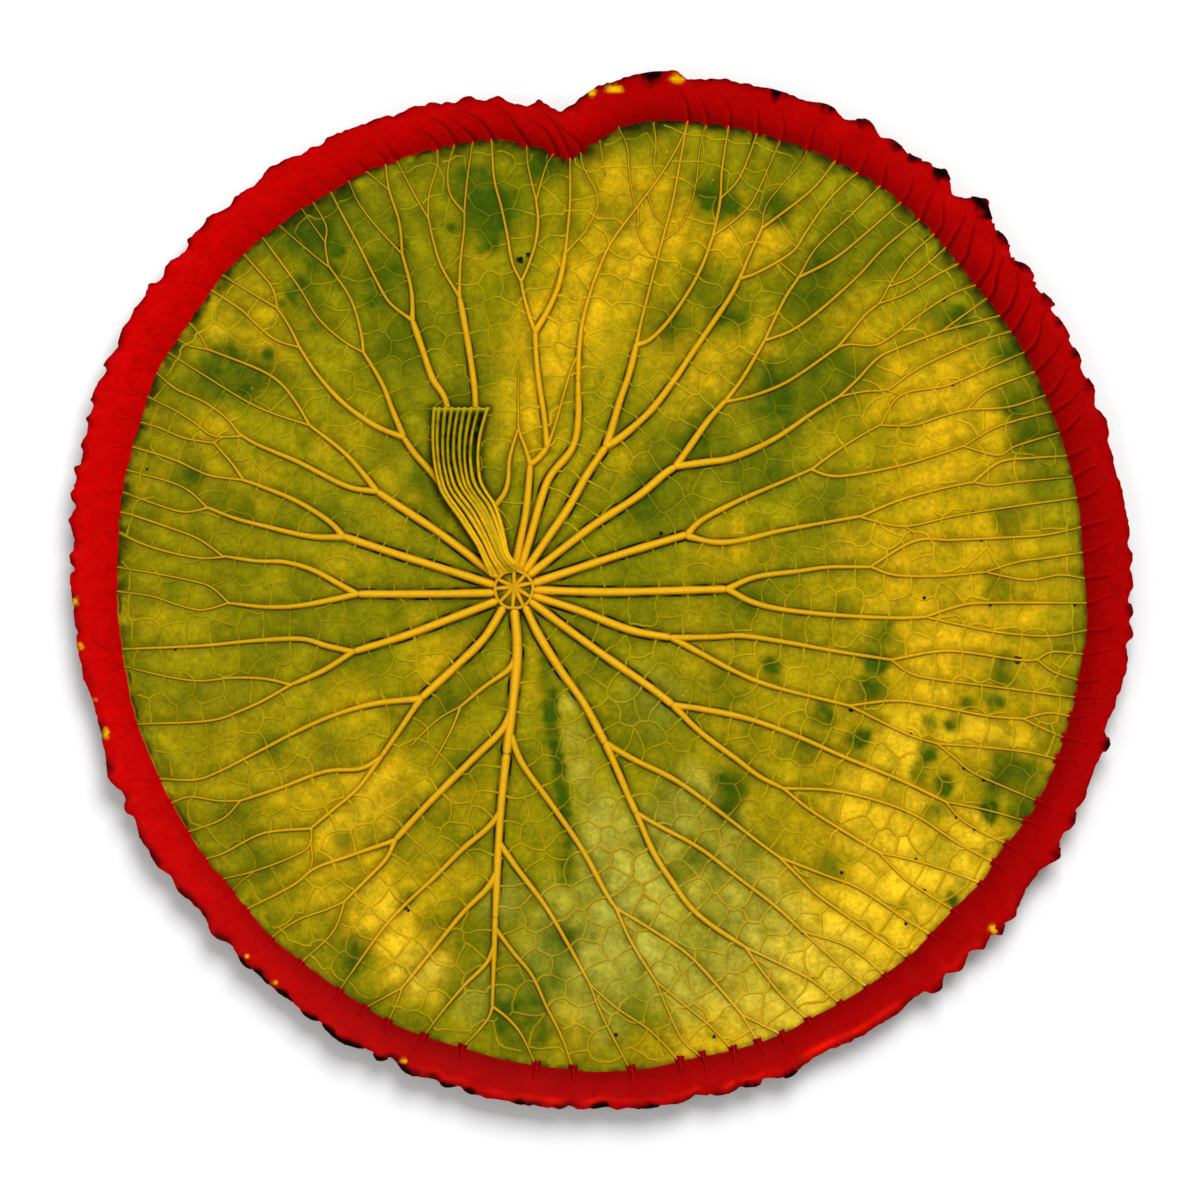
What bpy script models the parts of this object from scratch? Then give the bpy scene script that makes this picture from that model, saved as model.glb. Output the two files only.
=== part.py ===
"""A water lily pad, lying with its veined underside up, and the cut stub of its stalk.

The origin is at the hub, where the stalk joins, on the surface that the pad rests on.
+X is to the right and +Y is toward the notch, as seen from above, and +Z is up.
Outlines and vein routes are drawn by hand on squares of a quarter of a millimetre,
counted to the right and down, and place() turns a square into metres.
"""

import math

import bmesh
import bpy
import numpy as np
from mathutils import Vector
from mathutils.geometry import delaunay_2d_cdt

# The drawing grid
SQUARE = 0.00025
HUB_SQUARE = (514, 587)
LEAF_MIDDLE_SQUARE = (602, 592)

# Heights and thicknesses, in metres
BLADE_THICKNESS = 0.0012
FLAT_RADIUS = 0.062
CREASE_RADIUS = 0.121
CREASE_RISE = 0.0040
RIM_RISE = 0.0036
RIM_ROLL = 0.0004
TOOTH_CURL = 0.0010
VEIN_HEIGHT_PER_WIDTH = 0.55
LEAST_FOOT = 0.00055
LARGEST_RADIUS = 0.136

# Point spacing of the faceted blade, in metres
THICK_VEIN_STEP = 0.0046
THIN_VEIN_STEP = 0.0070
RIM_ROWS = (0.3, 0.65)
RIM_COLUMNS = 110
DOWN_COLUMNS = 72
FILL_STEP = 0.0095
DOWN_STEP = 0.0150
LEAST_GAP = 0.00048
PLAN_CELL = 0.0020

# The hub's ring and spokes
RING_RADIUS = 0.00475
RING_MIDDLE = (-0.0001, -0.0006)
RING_WIDTH = 0.00120
RING_HEIGHT = 0.00120
RING_POINTS = 22
SPOKE_DEGREES = (20, 52, 90, 148, 178, 222, 266, 300, 335)
SPOKE_WIDTH = 0.00110
SPOKE_HEIGHT = 0.00090

# The stalk
STALK_CLEARANCE = 0.00125
STALK_FOOT_CLEARANCE = 0.0016
STALK_THICKNESS = 0.0021
STALK_EDGE_THICKNESS = 0.0012
STALK_FOOT_THICKNESS = 0.0009
RIB_HEIGHT = 0.00065
RIB_COUNT = 9
POINTS_PER_RIB = 2
STALK_SECTIONS = 20

COLLECTION = "water lily pad"
PAD_COLOUR = (0.26, 0.24, 0.02, 1.0)
RIM_COLOUR = (0.45, 0.0, 0.004, 1.0)
STALK_COLOUR = (0.45, 0.36, 0.05, 1.0)

# Where the green blade ends and the red rim begins, in squares, clockwise from the notch
CREASE = (
    (568, 158), (580, 151), (600, 140), (620, 128), (650, 121), (690, 121), (720, 124), (750, 131),
    (780, 139), (810, 149), (835, 160), (858, 172), (880, 185), (900, 201), (920, 219), (940, 240),
    (970, 278), (1000, 315), (1030, 362), (1057, 425), (1072, 475), (1080, 515), (1083, 560),
    (1087, 610), (1086, 640), (1080, 670), (1075, 700), (1065, 735), (1055, 765), (1040, 798),
    (1025, 822), (998, 855), (985, 878), (955, 908), (928, 937), (907, 958), (865, 988), (840, 1003),
    (808, 1020), (780, 1035), (735, 1050), (700, 1057), (650, 1068), (600, 1072), (573, 1070),
    (510, 1061), (462, 1048), (424, 1036), (388, 1021), (340, 990), (302, 962), (272, 938),
    (248, 910), (222, 878), (206, 860), (187, 830), (170, 800), (160, 780), (143, 740), (132, 705),
    (125, 668), (119, 625), (117, 590), (118, 550), (121, 500), (128, 465), (140, 422), (157, 372),
    (178, 338), (203, 303), (223, 275), (243, 255), (262, 238), (300, 210), (330, 192), (366, 171),
    (398, 160), (437, 148), (472, 141), (505, 140), (540, 148), (555, 154),
)

# The toothed margin, in squares, clockwise from the notch: tips and the dips between them
MARGIN = (
    (562, 112), (575, 103), (588, 93), (620, 80), (655, 73), (678, 74), (690, 80), (715, 79),
    (740, 84), (770, 90), (800, 99), (830, 107), (845, 120), (868, 121), (880, 137), (893, 141),
    (912, 157), (928, 163), (935, 171), (945, 170), (950, 182), (955, 196), (985, 200), (988, 212),
    (995, 230), (1005, 238), (1013, 262), (1025, 265), (1034, 275), (1033, 285), (1054, 304),
    (1051, 310), (1068, 333), (1069, 342), (1080, 358), (1081, 370), (1094, 389), (1095, 405),
    (1105, 420), (1110, 450), (1118, 480), (1125, 510), (1129, 530), (1128, 545), (1132, 560),
    (1130, 570), (1133, 585), (1128, 600), (1132, 612), (1128, 622), (1131, 635), (1124, 645),
    (1127, 658), (1118, 695), (1105, 728), (1109, 745), (1098, 758), (1085, 795), (1075, 812),
    (1073, 825), (1060, 838), (1058, 857), (1038, 872), (1020, 900), (1015, 915), (1004, 923),
    (1001, 934), (990, 935), (983, 948), (970, 952), (960, 970), (945, 974), (940, 988), (932, 993),
    (920, 992), (900, 1010), (878, 1025), (859, 1037), (834, 1047), (806, 1062), (790, 1076),
    (766, 1078), (758, 1085), (740, 1086), (726, 1094), (698, 1095), (684, 1102), (646, 1107),
    (620, 1108), (606, 1105), (584, 1109), (570, 1105), (560, 1108), (530, 1104), (500, 1100),
    (470, 1092), (460, 1086), (444, 1086), (436, 1078), (408, 1073), (392, 1058), (378, 1060),
    (370, 1050), (340, 1041), (318, 1020), (308, 1017), (290, 999), (266, 982), (258, 971),
    (246, 967), (232, 945), (216, 936), (200, 910), (180, 892), (172, 876), (158, 864), (140, 834),
    (136, 820), (126, 810), (124, 796), (110, 778), (109, 768), (100, 726), (93, 700), (86, 676),
    (81, 660), (78, 638), (74, 604), (72, 576), (75, 570), (70, 558), (75, 544), (71, 522),
    (76, 508), (72, 496), (78, 484), (76, 468), (82, 464), (84, 452), (82, 444), (89, 428),
    (87, 418), (95, 406), (92, 397), (106, 372), (105, 364), (118, 350), (120, 338), (134, 312),
    (140, 305), (151, 286), (162, 282), (168, 264), (188, 252), (189, 240), (198, 233), (212, 216),
    (230, 208), (237, 197), (252, 188), (273, 168), (292, 159), (317, 147), (344, 132), (376, 121),
    (400, 115), (422, 106), (454, 103), (469, 97), (480, 102), (500, 98), (512, 104), (530, 107),
    (540, 102), (552, 108),
)

# The raised veins: width at the start and at the end, then the route, all in squares.
# They are in order round the hub, each trunk with its forks, clockwise from the notch.
VEINS = (
    # Between the stalk and the notch
    (8, 6, (514, 562), (521, 536), (525, 516), (528, 490), (530, 464)),
    (5, 4, (530, 464), (526, 450), (520, 434), (518, 424)),
    (6, 4, (489, 512), (497, 503), (505, 491), (508, 478), (509, 460), (513, 444), (518, 428)),
    (6, 6, (530, 464), (538, 458), (547, 447)),
    (6, 5, (547, 447), (544, 416), (539, 384), (536, 356), (535, 331)),
    (5, 4, (535, 331), (530, 318), (524, 297), (521, 281)),
    (4, 3, (521, 281), (512, 262), (507, 234), (501, 206), (494, 178), (492, 148)),
    (4, 4, (521, 281), (527, 268), (535, 244), (538, 220), (536, 200)),
    (3, 2, (536, 200), (528, 166), (527, 150)),
    (3, 2, (536, 200), (546, 166), (551, 158)),
    (6, 5, (535, 331), (547, 311), (557, 289), (562, 270), (565, 253)),
    (4, 3, (565, 253), (568, 226), (570, 200), (570, 163)),
    (3, 2, (565, 253), (576, 241), (587, 228), (598, 199), (583, 166), (581, 154)),
    (4, 3, (547, 447), (555, 424), (570, 372), (577, 356)),
    # Trunk toward one o'clock
    (9, 4, (522, 563), (531, 534), (540, 502), (550, 476), (572, 448), (578, 420), (578, 380),
     (579, 350), (583, 318), (593, 283), (610, 244), (636, 208), (660, 176), (680, 142), (687, 124)),
    (9, 8, (527, 568), (546, 540), (568, 508), (586, 476), (606, 446)),
    (7, 6, (606, 446), (613, 424), (620, 400), (629, 374), (637, 342)),
    (4, 3, (637, 342), (642, 318), (657, 260), (664, 234), (673, 200), (680, 162), (687, 124)),
    (5, 4, (637, 344), (650, 339), (668, 321), (688, 292), (702, 266), (713, 236)),
    (4, 3, (713, 236), (720, 202), (722, 170), (728, 130)),
    (3, 2, (715, 234), (732, 222), (750, 205), (762, 182), (779, 143)),
    (3, 3, (721, 198), (738, 180), (749, 156), (756, 136)),
    (7, 5, (606, 446), (622, 436), (650, 411), (674, 380), (692, 353), (728, 300), (740, 278)),
    (4, 4, (740, 278), (750, 254), (762, 228)),
    (4, 3, (762, 228), (802, 198), (820, 181), (833, 164)),
    (4, 3, (740, 278), (758, 272), (792, 252), (806, 232), (824, 206), (842, 186), (855, 175)),
    # Trunk toward two o'clock
    (9, 8, (531, 573), (566, 546), (598, 522), (638, 496), (664, 474), (676, 466)),
    (7, 5, (676, 466), (690, 446), (710, 418), (727, 399)),
    (5, 4, (727, 399), (744, 376), (765, 340)),
    (4, 4, (765, 340), (784, 300), (799, 277)),
    (3, 3, (799, 277), (813, 252), (830, 234), (852, 214), (878, 188)),
    (4, 3, (799, 277), (832, 260), (858, 240), (899, 204)),
    (4, 3, (765, 340), (792, 330), (820, 310), (858, 276), (884, 248), (917, 221)),
    (4, 4, (727, 401), (754, 395), (790, 380), (838, 347)),
    (4, 3, (838, 347), (850, 333), (866, 314), (880, 302), (890, 284)),
    (3, 3, (890, 284), (906, 260), (932, 236)),
    (3, 3, (880, 303), (905, 294), (935, 276), (958, 264)),
    (3, 3, (838, 347), (850, 344), (874, 345), (892, 336), (918, 316), (950, 295), (973, 286)),
    (7, 4, (676, 466), (704, 462), (734, 457), (774, 439), (814, 412), (840, 396)),
    (4, 3, (840, 396), (858, 379), (878, 358), (900, 347), (942, 331)),
    (3, 3, (942, 331), (982, 302)),
    (3, 3, (942, 331), (998, 316)),
    (3, 3, (840, 396), (866, 391), (888, 389), (908, 375), (930, 362), (976, 342), (1009, 332)),
    # Trunks toward three o'clock
    (9, 8, (534, 583), (582, 567), (628, 552), (688, 534)),
    (6, 4, (688, 534), (702, 520), (740, 500), (782, 482), (812, 469)),
    (4, 3, (812, 469), (838, 450), (862, 435), (882, 424)),
    (3, 3, (882, 424), (901, 395), (948, 385), (988, 368), (1020, 354)),
    (3, 3, (882, 425), (914, 425), (942, 416), (968, 409)),
    (3, 3, (968, 409), (988, 390), (1032, 373)),
    (3, 3, (968, 409), (1008, 407), (1043, 396)),
    (4, 3, (812, 469), (828, 475), (850, 475), (898, 466), (940, 454), (964, 446)),
    (3, 3, (964, 446), (992, 429), (1018, 420), (1050, 412)),
    (3, 3, (964, 446), (998, 455), (1016, 446), (1058, 433)),
    (6, 4, (688, 536), (714, 542), (742, 540), (784, 530), (862, 516)),
    (4, 3, (862, 516), (900, 500), (944, 488), (974, 482)),
    (4, 3, (974, 482), (1000, 462), (1032, 458), (1064, 456)),
    (3, 2, (974, 482), (992, 485), (1018, 482), (1070, 477)),
    (3, 3, (862, 517), (892, 525), (916, 525), (954, 516), (1010, 507), (1075, 498)),
    (9, 8, (535, 590), (600, 592), (660, 591), (728, 589)),
    (6, 4, (728, 589), (756, 577), (800, 571), (830, 567), (872, 567)),
    (4, 3, (872, 566), (915, 541), (952, 540), (996, 538), (1044, 535), (1078, 528)),
    (4, 3, (872, 567), (896, 575), (940, 576), (986, 572)),
    (3, 3, (986, 572), (1018, 562), (1046, 558), (1079, 553)),
    (3, 3, (990, 573), (1028, 580), (1060, 575), (1082, 578)),
    (6, 4, (728, 589), (750, 601), (780, 609), (834, 615), (894, 618), (926, 617)),
    (4, 3, (926, 617), (956, 607), (984, 603), (1083, 603)),
    (3, 3, (930, 618), (966, 626), (1004, 633), (1050, 636), (1083, 631)),
    # Trunk toward four o'clock
    (9, 8, (534, 596), (580, 611), (630, 630), (672, 638)),
    (6, 4, (672, 638), (716, 637), (744, 636), (790, 643), (840, 652), (892, 660)),
    (4, 3, (892, 660), (934, 652), (964, 652), (1018, 660), (1038, 660)),
    (3, 3, (1038, 660), (1052, 652), (1081, 654)),
    (3, 3, (1038, 660), (1054, 672), (1075, 679)),
    (3, 3, (892, 660), (910, 673), (934, 679), (996, 687), (1072, 697)),
    (6, 4, (672, 638), (700, 653), (736, 672), (774, 687), (850, 706)),
    (4, 3, (850, 706), (892, 701), (924, 704), (988, 716), (1024, 719)),
    (3, 3, (1024, 719), (1048, 713), (1068, 716)),
    (3, 3, (1024, 719), (1044, 729), (1060, 736)),
    (4, 3, (850, 706), (884, 723), (912, 736), (938, 744)),
    (3, 3, (938, 744), (980, 747), (1026, 752), (1052, 758)),
    (3, 3, (938, 744), (954, 757), (972, 772), (1000, 785), (1033, 799)),
    # Trunk toward five o'clock, upper
    (9, 8, (530, 601), (570, 631), (606, 657), (648, 686), (674, 706)),
    (6, 4, (674, 706), (700, 709), (748, 719), (796, 736), (844, 757), (900, 780), (946, 802)),
    (3, 3, (946, 802), (986, 810), (1022, 820)),
    (3, 3, (946, 802), (962, 820), (984, 833), (1003, 842)),
    (6, 5, (674, 706), (700, 732), (736, 759), (760, 777), (784, 789)),
    (4, 3, (784, 789), (834, 791), (884, 803), (920, 818), (956, 842), (991, 861)),
    (4, 4, (784, 789), (810, 810), (848, 834), (880, 853)),
    (3, 3, (880, 853), (916, 861), (954, 873), (975, 881)),
    (3, 3, (880, 853), (902, 876), (926, 893), (947, 906)),
    # Trunk toward five o'clock, lower
    (9, 8, (524, 605), (538, 634), (560, 670), (584, 704), (606, 745)),
    (6, 4, (606, 744), (634, 760), (676, 781), (718, 811), (758, 842), (780, 858)),
    (4, 3, (780, 858), (824, 875), (860, 889), (902, 917), (926, 932)),
    (4, 3, (780, 858), (798, 876), (820, 897), (860, 925), (904, 955)),
    (7, 6, (606, 745), (618, 772), (629, 798), (637, 815)),
    (5, 4, (637, 814), (660, 827), (700, 849), (738, 878), (776, 907), (803, 932)),
    (3, 3, (803, 932), (840, 943), (860, 954), (881, 972)),
    (3, 3, (803, 932), (844, 969), (863, 984)),
    (6, 5, (637, 815), (653, 852), (672, 882), (690, 907), (712, 926), (746, 948)),
    (4, 3, (746, 948), (786, 967), (814, 982), (837, 1001)),
    (4, 3, (746, 948), (762, 971), (784, 998), (805, 1017)),
    # Midrib toward six o'clock
    (11, 9, (514, 608), (517, 650), (513, 700), (506, 756)),
    (9, 6, (506, 756), (501, 804), (498, 850), (495, 920)),
    (6, 4, (495, 920), (493, 984), (492, 1008)),
    (4, 3, (492, 1008), (486, 1022), (466, 1044)),
    (4, 3, (494, 1008), (508, 1019), (522, 1036), (533, 1060)),
    (6, 4, (515, 658), (508, 670), (484, 687), (460, 707)),
    (3, 2, (460, 707), (440, 718), (422, 734), (409, 748)),
    (4, 2, (460, 707), (452, 728), (441, 749), (430, 768)),
    (7, 6, (512, 708), (502, 730), (472, 760), (430, 802), (394, 841)),
    (5, 3, (394, 841), (344, 858), (314, 869), (292, 886), (251, 907)),
    (5, 4, (394, 841), (386, 859), (364, 882), (344, 902)),
    (3, 3, (344, 902), (326, 910), (298, 920), (275, 935)),
    (3, 3, (344, 902), (338, 922), (328, 938), (305, 959)),
    (6, 5, (511, 736), (522, 764), (552, 806), (582, 850), (606, 894), (616, 909)),
    (4, 4, (616, 909), (648, 928), (688, 955), (720, 989), (742, 1015)),
    (3, 3, (742, 1015), (776, 1032)),
    (3, 3, (742, 1015), (756, 1039)),
    (4, 4, (616, 909), (632, 944), (656, 982)),
    (3, 3, (656, 982), (688, 1008), (712, 1028), (730, 1047)),
    (3, 3, (656, 982), (672, 1020), (684, 1042), (697, 1053)),
    (6, 3, (500, 812), (488, 828), (462, 850), (434, 878), (406, 904), (382, 930), (352, 972),
     (343, 985)),
    (6, 4, (498, 842), (516, 868), (546, 908), (572, 952), (590, 985)),
    (3, 3, (590, 985), (616, 1008), (650, 1031), (676, 1058)),
    (3, 3, (590, 985), (602, 1016), (626, 1062)),
    (6, 4, (496, 874), (486, 890), (462, 914), (428, 956), (402, 988)),
    (3, 3, (402, 988), (371, 1005)),
    (3, 3, (402, 988), (396, 1005), (390, 1017)),
    (5, 3, (496, 930), (514, 954), (532, 976), (546, 1006), (562, 1038), (571, 1064)),
    (5, 3, (494, 946), (486, 964), (464, 986), (442, 1012), (427, 1032)),
    # Trunk toward seven o'clock
    (9, 8, (504, 606), (484, 638), (456, 666), (420, 699)),
    (6, 3, (420, 699), (374, 704), (332, 716), (296, 732), (248, 757), (216, 773), (194, 780),
     (163, 779)),
    (6, 5, (420, 699), (398, 732), (380, 758)),
    (5, 4, (380, 758), (360, 769), (324, 772), (280, 788), (240, 801)),
    (3, 3, (240, 801), (218, 801), (190, 797), (174, 802)),
    (3, 3, (240, 801), (224, 818), (200, 828), (190, 831)),
    (5, 4, (380, 758), (358, 788), (334, 809), (310, 829)),
    (4, 3, (310, 829), (278, 831), (256, 836), (224, 853), (209, 858)),
    (3, 3, (311, 829), (309, 846), (290, 858), (252, 872), (227, 878)),
    # Trunks toward nine o'clock
    (9, 7, (497, 601), (452, 618), (404, 636), (352, 652)),
    (6, 3, (352, 652), (326, 646), (300, 639), (252, 641), (198, 646), (127, 649)),
    (6, 5, (352, 652), (324, 670), (290, 685)),
    (4, 2, (290, 685), (264, 679), (232, 678), (200, 681), (168, 677), (130, 668)),
    (4, 3, (290, 685), (266, 699), (240, 711), (208, 721), (142, 724)),
    (9, 7, (494, 593), (430, 594), (356, 594)),
    (6, 4, (356, 594), (340, 585), (312, 570), (284, 562), (256, 561), (222, 556)),
    (3, 3, (222, 556), (200, 540), (176, 530), (132, 515), (123, 513)),
    (3, 3, (222, 557), (200, 558), (168, 552), (140, 543), (122, 534)),
    (6, 4, (356, 594), (330, 600), (296, 606), (264, 607), (228, 603)),
    (3, 2, (228, 603), (212, 588), (196, 582), (158, 574), (122, 568)),
    (3, 2, (228, 603), (202, 610), (178, 605), (150, 596), (121, 592)),
    # Trunks toward ten o'clock
    (9, 7, (494, 585), (444, 569), (396, 554), (342, 536)),
    (6, 4, (342, 536), (328, 521), (296, 501), (260, 486), (243, 480)),
    (4, 3, (243, 480), (232, 464), (220, 450), (214, 443)),
    (3, 2, (214, 443), (184, 438), (160, 428), (143, 423)),
    (3, 3, (243, 480), (212, 476), (196, 470), (172, 459), (136, 448)),
    (6, 4, (342, 537), (308, 536), (260, 525), (234, 518), (206, 507)),
    (3, 2, (206, 507), (190, 492), (170, 482), (130, 471)),
    (3, 2, (206, 508), (184, 512), (158, 505), (125, 493)),
    (9, 7, (495, 575), (442, 535), (400, 507), (376, 491)),
    (6, 4, (376, 491), (363, 474), (342, 451), (309, 425)),
    (4, 3, (309, 425), (296, 403), (280, 383), (258, 369), (207, 349)),
    (3, 2, (207, 349), (190, 346), (181, 341)),
    (3, 2, (309, 425), (272, 413), (244, 400), (202, 374), (170, 354)),
    (6, 4, (376, 491), (346, 486), (298, 462), (256, 444), (238, 433)),
    (3, 3, (238, 433), (226, 418), (204, 402), (176, 389), (159, 375)),
    (3, 2, (240, 436), (214, 436), (196, 424), (176, 411), (150, 398)),
    # Trunk toward eleven o'clock, from under the stalk
    (7, 6, (500, 569), (488, 551), (470, 524), (453, 500), (441, 484), (431, 472), (414, 453),
     (403, 437)),
    (6, 4, (403, 437), (374, 425), (342, 402), (316, 373), (299, 347)),
    (3, 3, (299, 347), (276, 340), (256, 324), (240, 309), (214, 292)),
    (4, 3, (299, 347), (290, 328), (277, 308)),
    (3, 3, (277, 308), (272, 288), (256, 268), (246, 257)),
    (3, 2, (277, 308), (250, 292), (227, 278)),
    (6, 4, (403, 436), (392, 410), (381, 382), (363, 352)),
    (3, 3, (363, 352), (342, 340), (318, 318), (298, 286), (265, 241)),
    (4, 3, (363, 352), (360, 330), (350, 298), (328, 265)),
    (3, 2, (328, 265), (325, 244), (326, 226), (315, 206)),
    # Trunks toward the top left, from under the stalk
    (6, 6, (505, 567), (488, 535), (468, 500), (453, 460), (446, 403), (432, 378), (421, 346),
     (412, 320)),
    (4, 3, (412, 320), (390, 303), (376, 280), (360, 248), (344, 218), (332, 195)),
    (5, 4, (412, 320), (411, 290), (402, 254)),
    (3, 2, (402, 254), (376, 226), (358, 202), (350, 184)),
    (4, 3, (402, 254), (399, 222), (389, 190), (386, 168)),
    (6, 6, (509, 566), (492, 530), (476, 490), (472, 450), (475, 403), (471, 364), (464, 322),
     (459, 296)),
    (4, 3, (459, 296), (442, 268), (434, 244), (428, 218)),
    (3, 2, (428, 218), (414, 194), (399, 165)),
    (3, 2, (428, 218), (429, 194), (437, 166), (437, 152)),
    (4, 3, (459, 296), (460, 264), (464, 228), (464, 212)),
    (3, 2, (464, 212), (450, 194), (448, 168), (453, 149)),
    (3, 2, (464, 212), (467, 180), (472, 146)),
)

# The stalk's edges, in squares, from its cut end to the hub
STALK_LEFT = (
    (432, 407), (431, 425), (431, 445), (433, 465), (436, 480), (439, 490), (446, 502),
    (457, 517), (467, 532), (476, 546), (483, 561), (490, 577),
)
STALK_RIGHT = (
    (490, 407), (486, 420), (482, 435), (480, 450), (480, 465), (482, 480), (488, 492),
    (496, 504), (502, 521), (506, 538), (509, 552), (515, 561), (526, 570),
)


def place(square):
    """The point on the ground plan, in metres, that a square of the drawing stands for."""
    return ((square[0] - HUB_SQUARE[0]) * SQUARE, (HUB_SQUARE[1] - square[1]) * SQUARE)


def placed(squares):
    return np.array([place(square) for square in squares])


MIDDLE = np.array(place(LEAF_MIDDLE_SQUARE))
CREASE_LINE = placed(CREASE)
MARGIN_LINE = placed(MARGIN)


def along(line, count):
    """A given number of points, evenly spaced by length along a line, both ends included."""
    line = np.asarray(line, float)
    lengths = np.hypot(*np.diff(line, axis=0).T)
    travelled = np.concatenate(([0.0], np.cumsum(lengths)))
    wanted = np.linspace(0.0, travelled[-1], count)
    return np.column_stack([np.interp(wanted, travelled, line[:, axis]) for axis in (0, 1)])


def length_of(line):
    return float(np.hypot(*np.diff(np.asarray(line, float), axis=0).T).sum())


def polar(points):
    away = np.atleast_2d(points) - MIDDLE
    return np.arctan2(away[:, 1], away[:, 0]), np.hypot(away[:, 0], away[:, 1])


def radius_toward(angles, line):
    """How far a closed outline lies from the leaf's middle in each direction."""
    line_angles, line_radii = polar(line)
    order = np.argsort(line_angles)
    return np.interp(angles, line_angles[order], line_radii[order], period=2 * math.pi)


def rim_share(points):
    """0 at the crease and inside it, 1 at the margin."""
    angles, radii = polar(points)
    crease = radius_toward(angles, CREASE_LINE)
    margin = radius_toward(angles, MARGIN_LINE)
    return np.clip((radii - crease) / (margin - crease), 0.0, 1.0)


def blade_top(points):
    """The height of the blade's veined side without its veins."""
    _, radii = polar(points)
    out = np.clip((radii - FLAT_RADIUS) / (CREASE_RADIUS - FLAT_RADIUS), 0.0, 1.0)
    share = rim_share(points)
    dish = CREASE_RISE * out * out * (3 - 2 * out)
    return BLADE_THICKNESS + dish + RIM_RISE * share + RIM_ROLL * np.sin(math.pi * share)


def hub_ridges():
    """The hub's ring and spokes, as lines with a foot and a height at each end."""
    turns = np.linspace(0.0, 2 * math.pi, RING_POINTS + 1)
    ring = RING_MIDDLE + RING_RADIUS * np.column_stack([np.cos(turns), np.sin(turns)])
    ridges = [(ring, RING_WIDTH / 2, RING_WIDTH / 2, RING_HEIGHT, RING_HEIGHT)]
    for turn in np.radians(SPOKE_DEGREES):
        end = RING_MIDDLE + RING_RADIUS * np.array([math.cos(turn), math.sin(turn)])
        line = np.array([end * 0.08, end * 0.5, end])
        ridges.append((line, SPOKE_WIDTH / 2, SPOKE_WIDTH / 2, SPOKE_HEIGHT, SPOKE_HEIGHT))
    return ridges


def vein_ridges():
    """Every vein as an evenly spaced line with its foot and its height at each end."""
    ridges = []
    for start_width, end_width, *squares in VEINS:
        route = placed(squares)
        step = THICK_VEIN_STEP if start_width > 5 else THIN_VEIN_STEP
        line = along(route, max(2, round(length_of(route) / step) + 1))
        widths = (start_width * SQUARE, end_width * SQUARE)
        feet = [max(width / 2, LEAST_FOOT) for width in widths]
        heights = [width * VEIN_HEIGHT_PER_WIDTH for width in widths]
        ridges.append((line, *feet, *heights))
    return ridges


RIDGES = hub_ridges() + vein_ridges()


def ridge_segments():
    """The ridges cut into straight segments: two ends, two feet and two heights a row."""
    rows = []
    for line, first_foot, last_foot, first_height, last_height in RIDGES:
        feet = np.linspace(first_foot, last_foot, len(line))
        heights = np.linspace(first_height, last_height, len(line))
        for index in range(len(line) - 1):
            rows.append([*line[index], *line[index + 1], feet[index], feet[index + 1],
                         heights[index], heights[index + 1]])
    return np.array(rows)


SEGMENTS = ridge_segments()


def vein_height(point):
    """How far the highest vein stands above the blade at a point."""
    start, end = SEGMENTS[:, 0:2], SEGMENTS[:, 2:4]
    run = end - start
    share = np.clip(((point - start) * run).sum(1) / (run * run).sum(1), 0.0, 1.0)
    gap = np.hypot(*(start + run * share[:, None] - point).T)
    foot = SEGMENTS[:, 4] * (1 - share) + SEGMENTS[:, 5] * share
    height = SEGMENTS[:, 6] * (1 - share) + SEGMENTS[:, 7] * share
    return float((height * np.clip(1 - gap / foot, 0.0, 1.0)).max())


class Plan:
    """Points on the ground plan, kept a least gap apart, and the lines that join them."""

    def __init__(self):
        self.points = []
        self.lines = []
        self.cells = {}

    def nearest(self, point, gap):
        cell_x, cell_y = int(point[0] // PLAN_CELL), int(point[1] // PLAN_CELL)
        reach = int(math.ceil(gap / PLAN_CELL))
        best, best_gap = None, gap
        for x in range(cell_x - reach, cell_x + reach + 1):
            for y in range(cell_y - reach, cell_y + reach + 1):
                for index in self.cells.get((x, y), ()):
                    other = self.points[index]
                    between = math.hypot(other[0] - point[0], other[1] - point[1])
                    if between < best_gap:
                        best, best_gap = index, between
        return best

    def add(self, point, gap=0.0):
        """Adds a point, or gives the one that is already there."""
        found = self.nearest(point, gap) if gap else None
        if found is not None:
            return found
        self.points.append((float(point[0]), float(point[1])))
        cell = (int(point[0] // PLAN_CELL), int(point[1] // PLAN_CELL))
        self.cells.setdefault(cell, []).append(len(self.points) - 1)
        return len(self.points) - 1

    def add_line(self, line, gap):
        indices = [self.add(point, gap) for point in line]
        for first, second in zip(indices, indices[1:]):
            if first != second:
                self.lines.append((first, second))

    def triangles(self, outline):
        """The plan's points and triangles, and where each outline point went."""
        points = [Vector(point) for point in self.points]
        made, _, faces, origins, _, _ = delaunay_2d_cdt(points, self.lines, [outline], 1, 1e-7)
        moved = {first: index for index, sources in enumerate(origins) for first in sources}
        return np.array([tuple(point) for point in made]), faces, [moved[i] for i in outline]


def fill(plan, step, clear):
    """Adds an even pattern of points inside the crease, clear of those already there."""
    reach = int(LARGEST_RADIUS / step) + 2
    for row in range(-reach, reach + 1):
        for column in range(-reach, reach + 1):
            x = MIDDLE[0] + step * (column + 0.5 * (row % 2))
            y = MIDDLE[1] + step * row * math.sqrt(3) / 2
            point = np.array([x, y])
            angles, radii = polar(point)
            if radii[0] > radius_toward(angles, CREASE_LINE)[0] - clear:
                continue
            if plan.nearest(point, clear) is None:
                plan.add(point)


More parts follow.
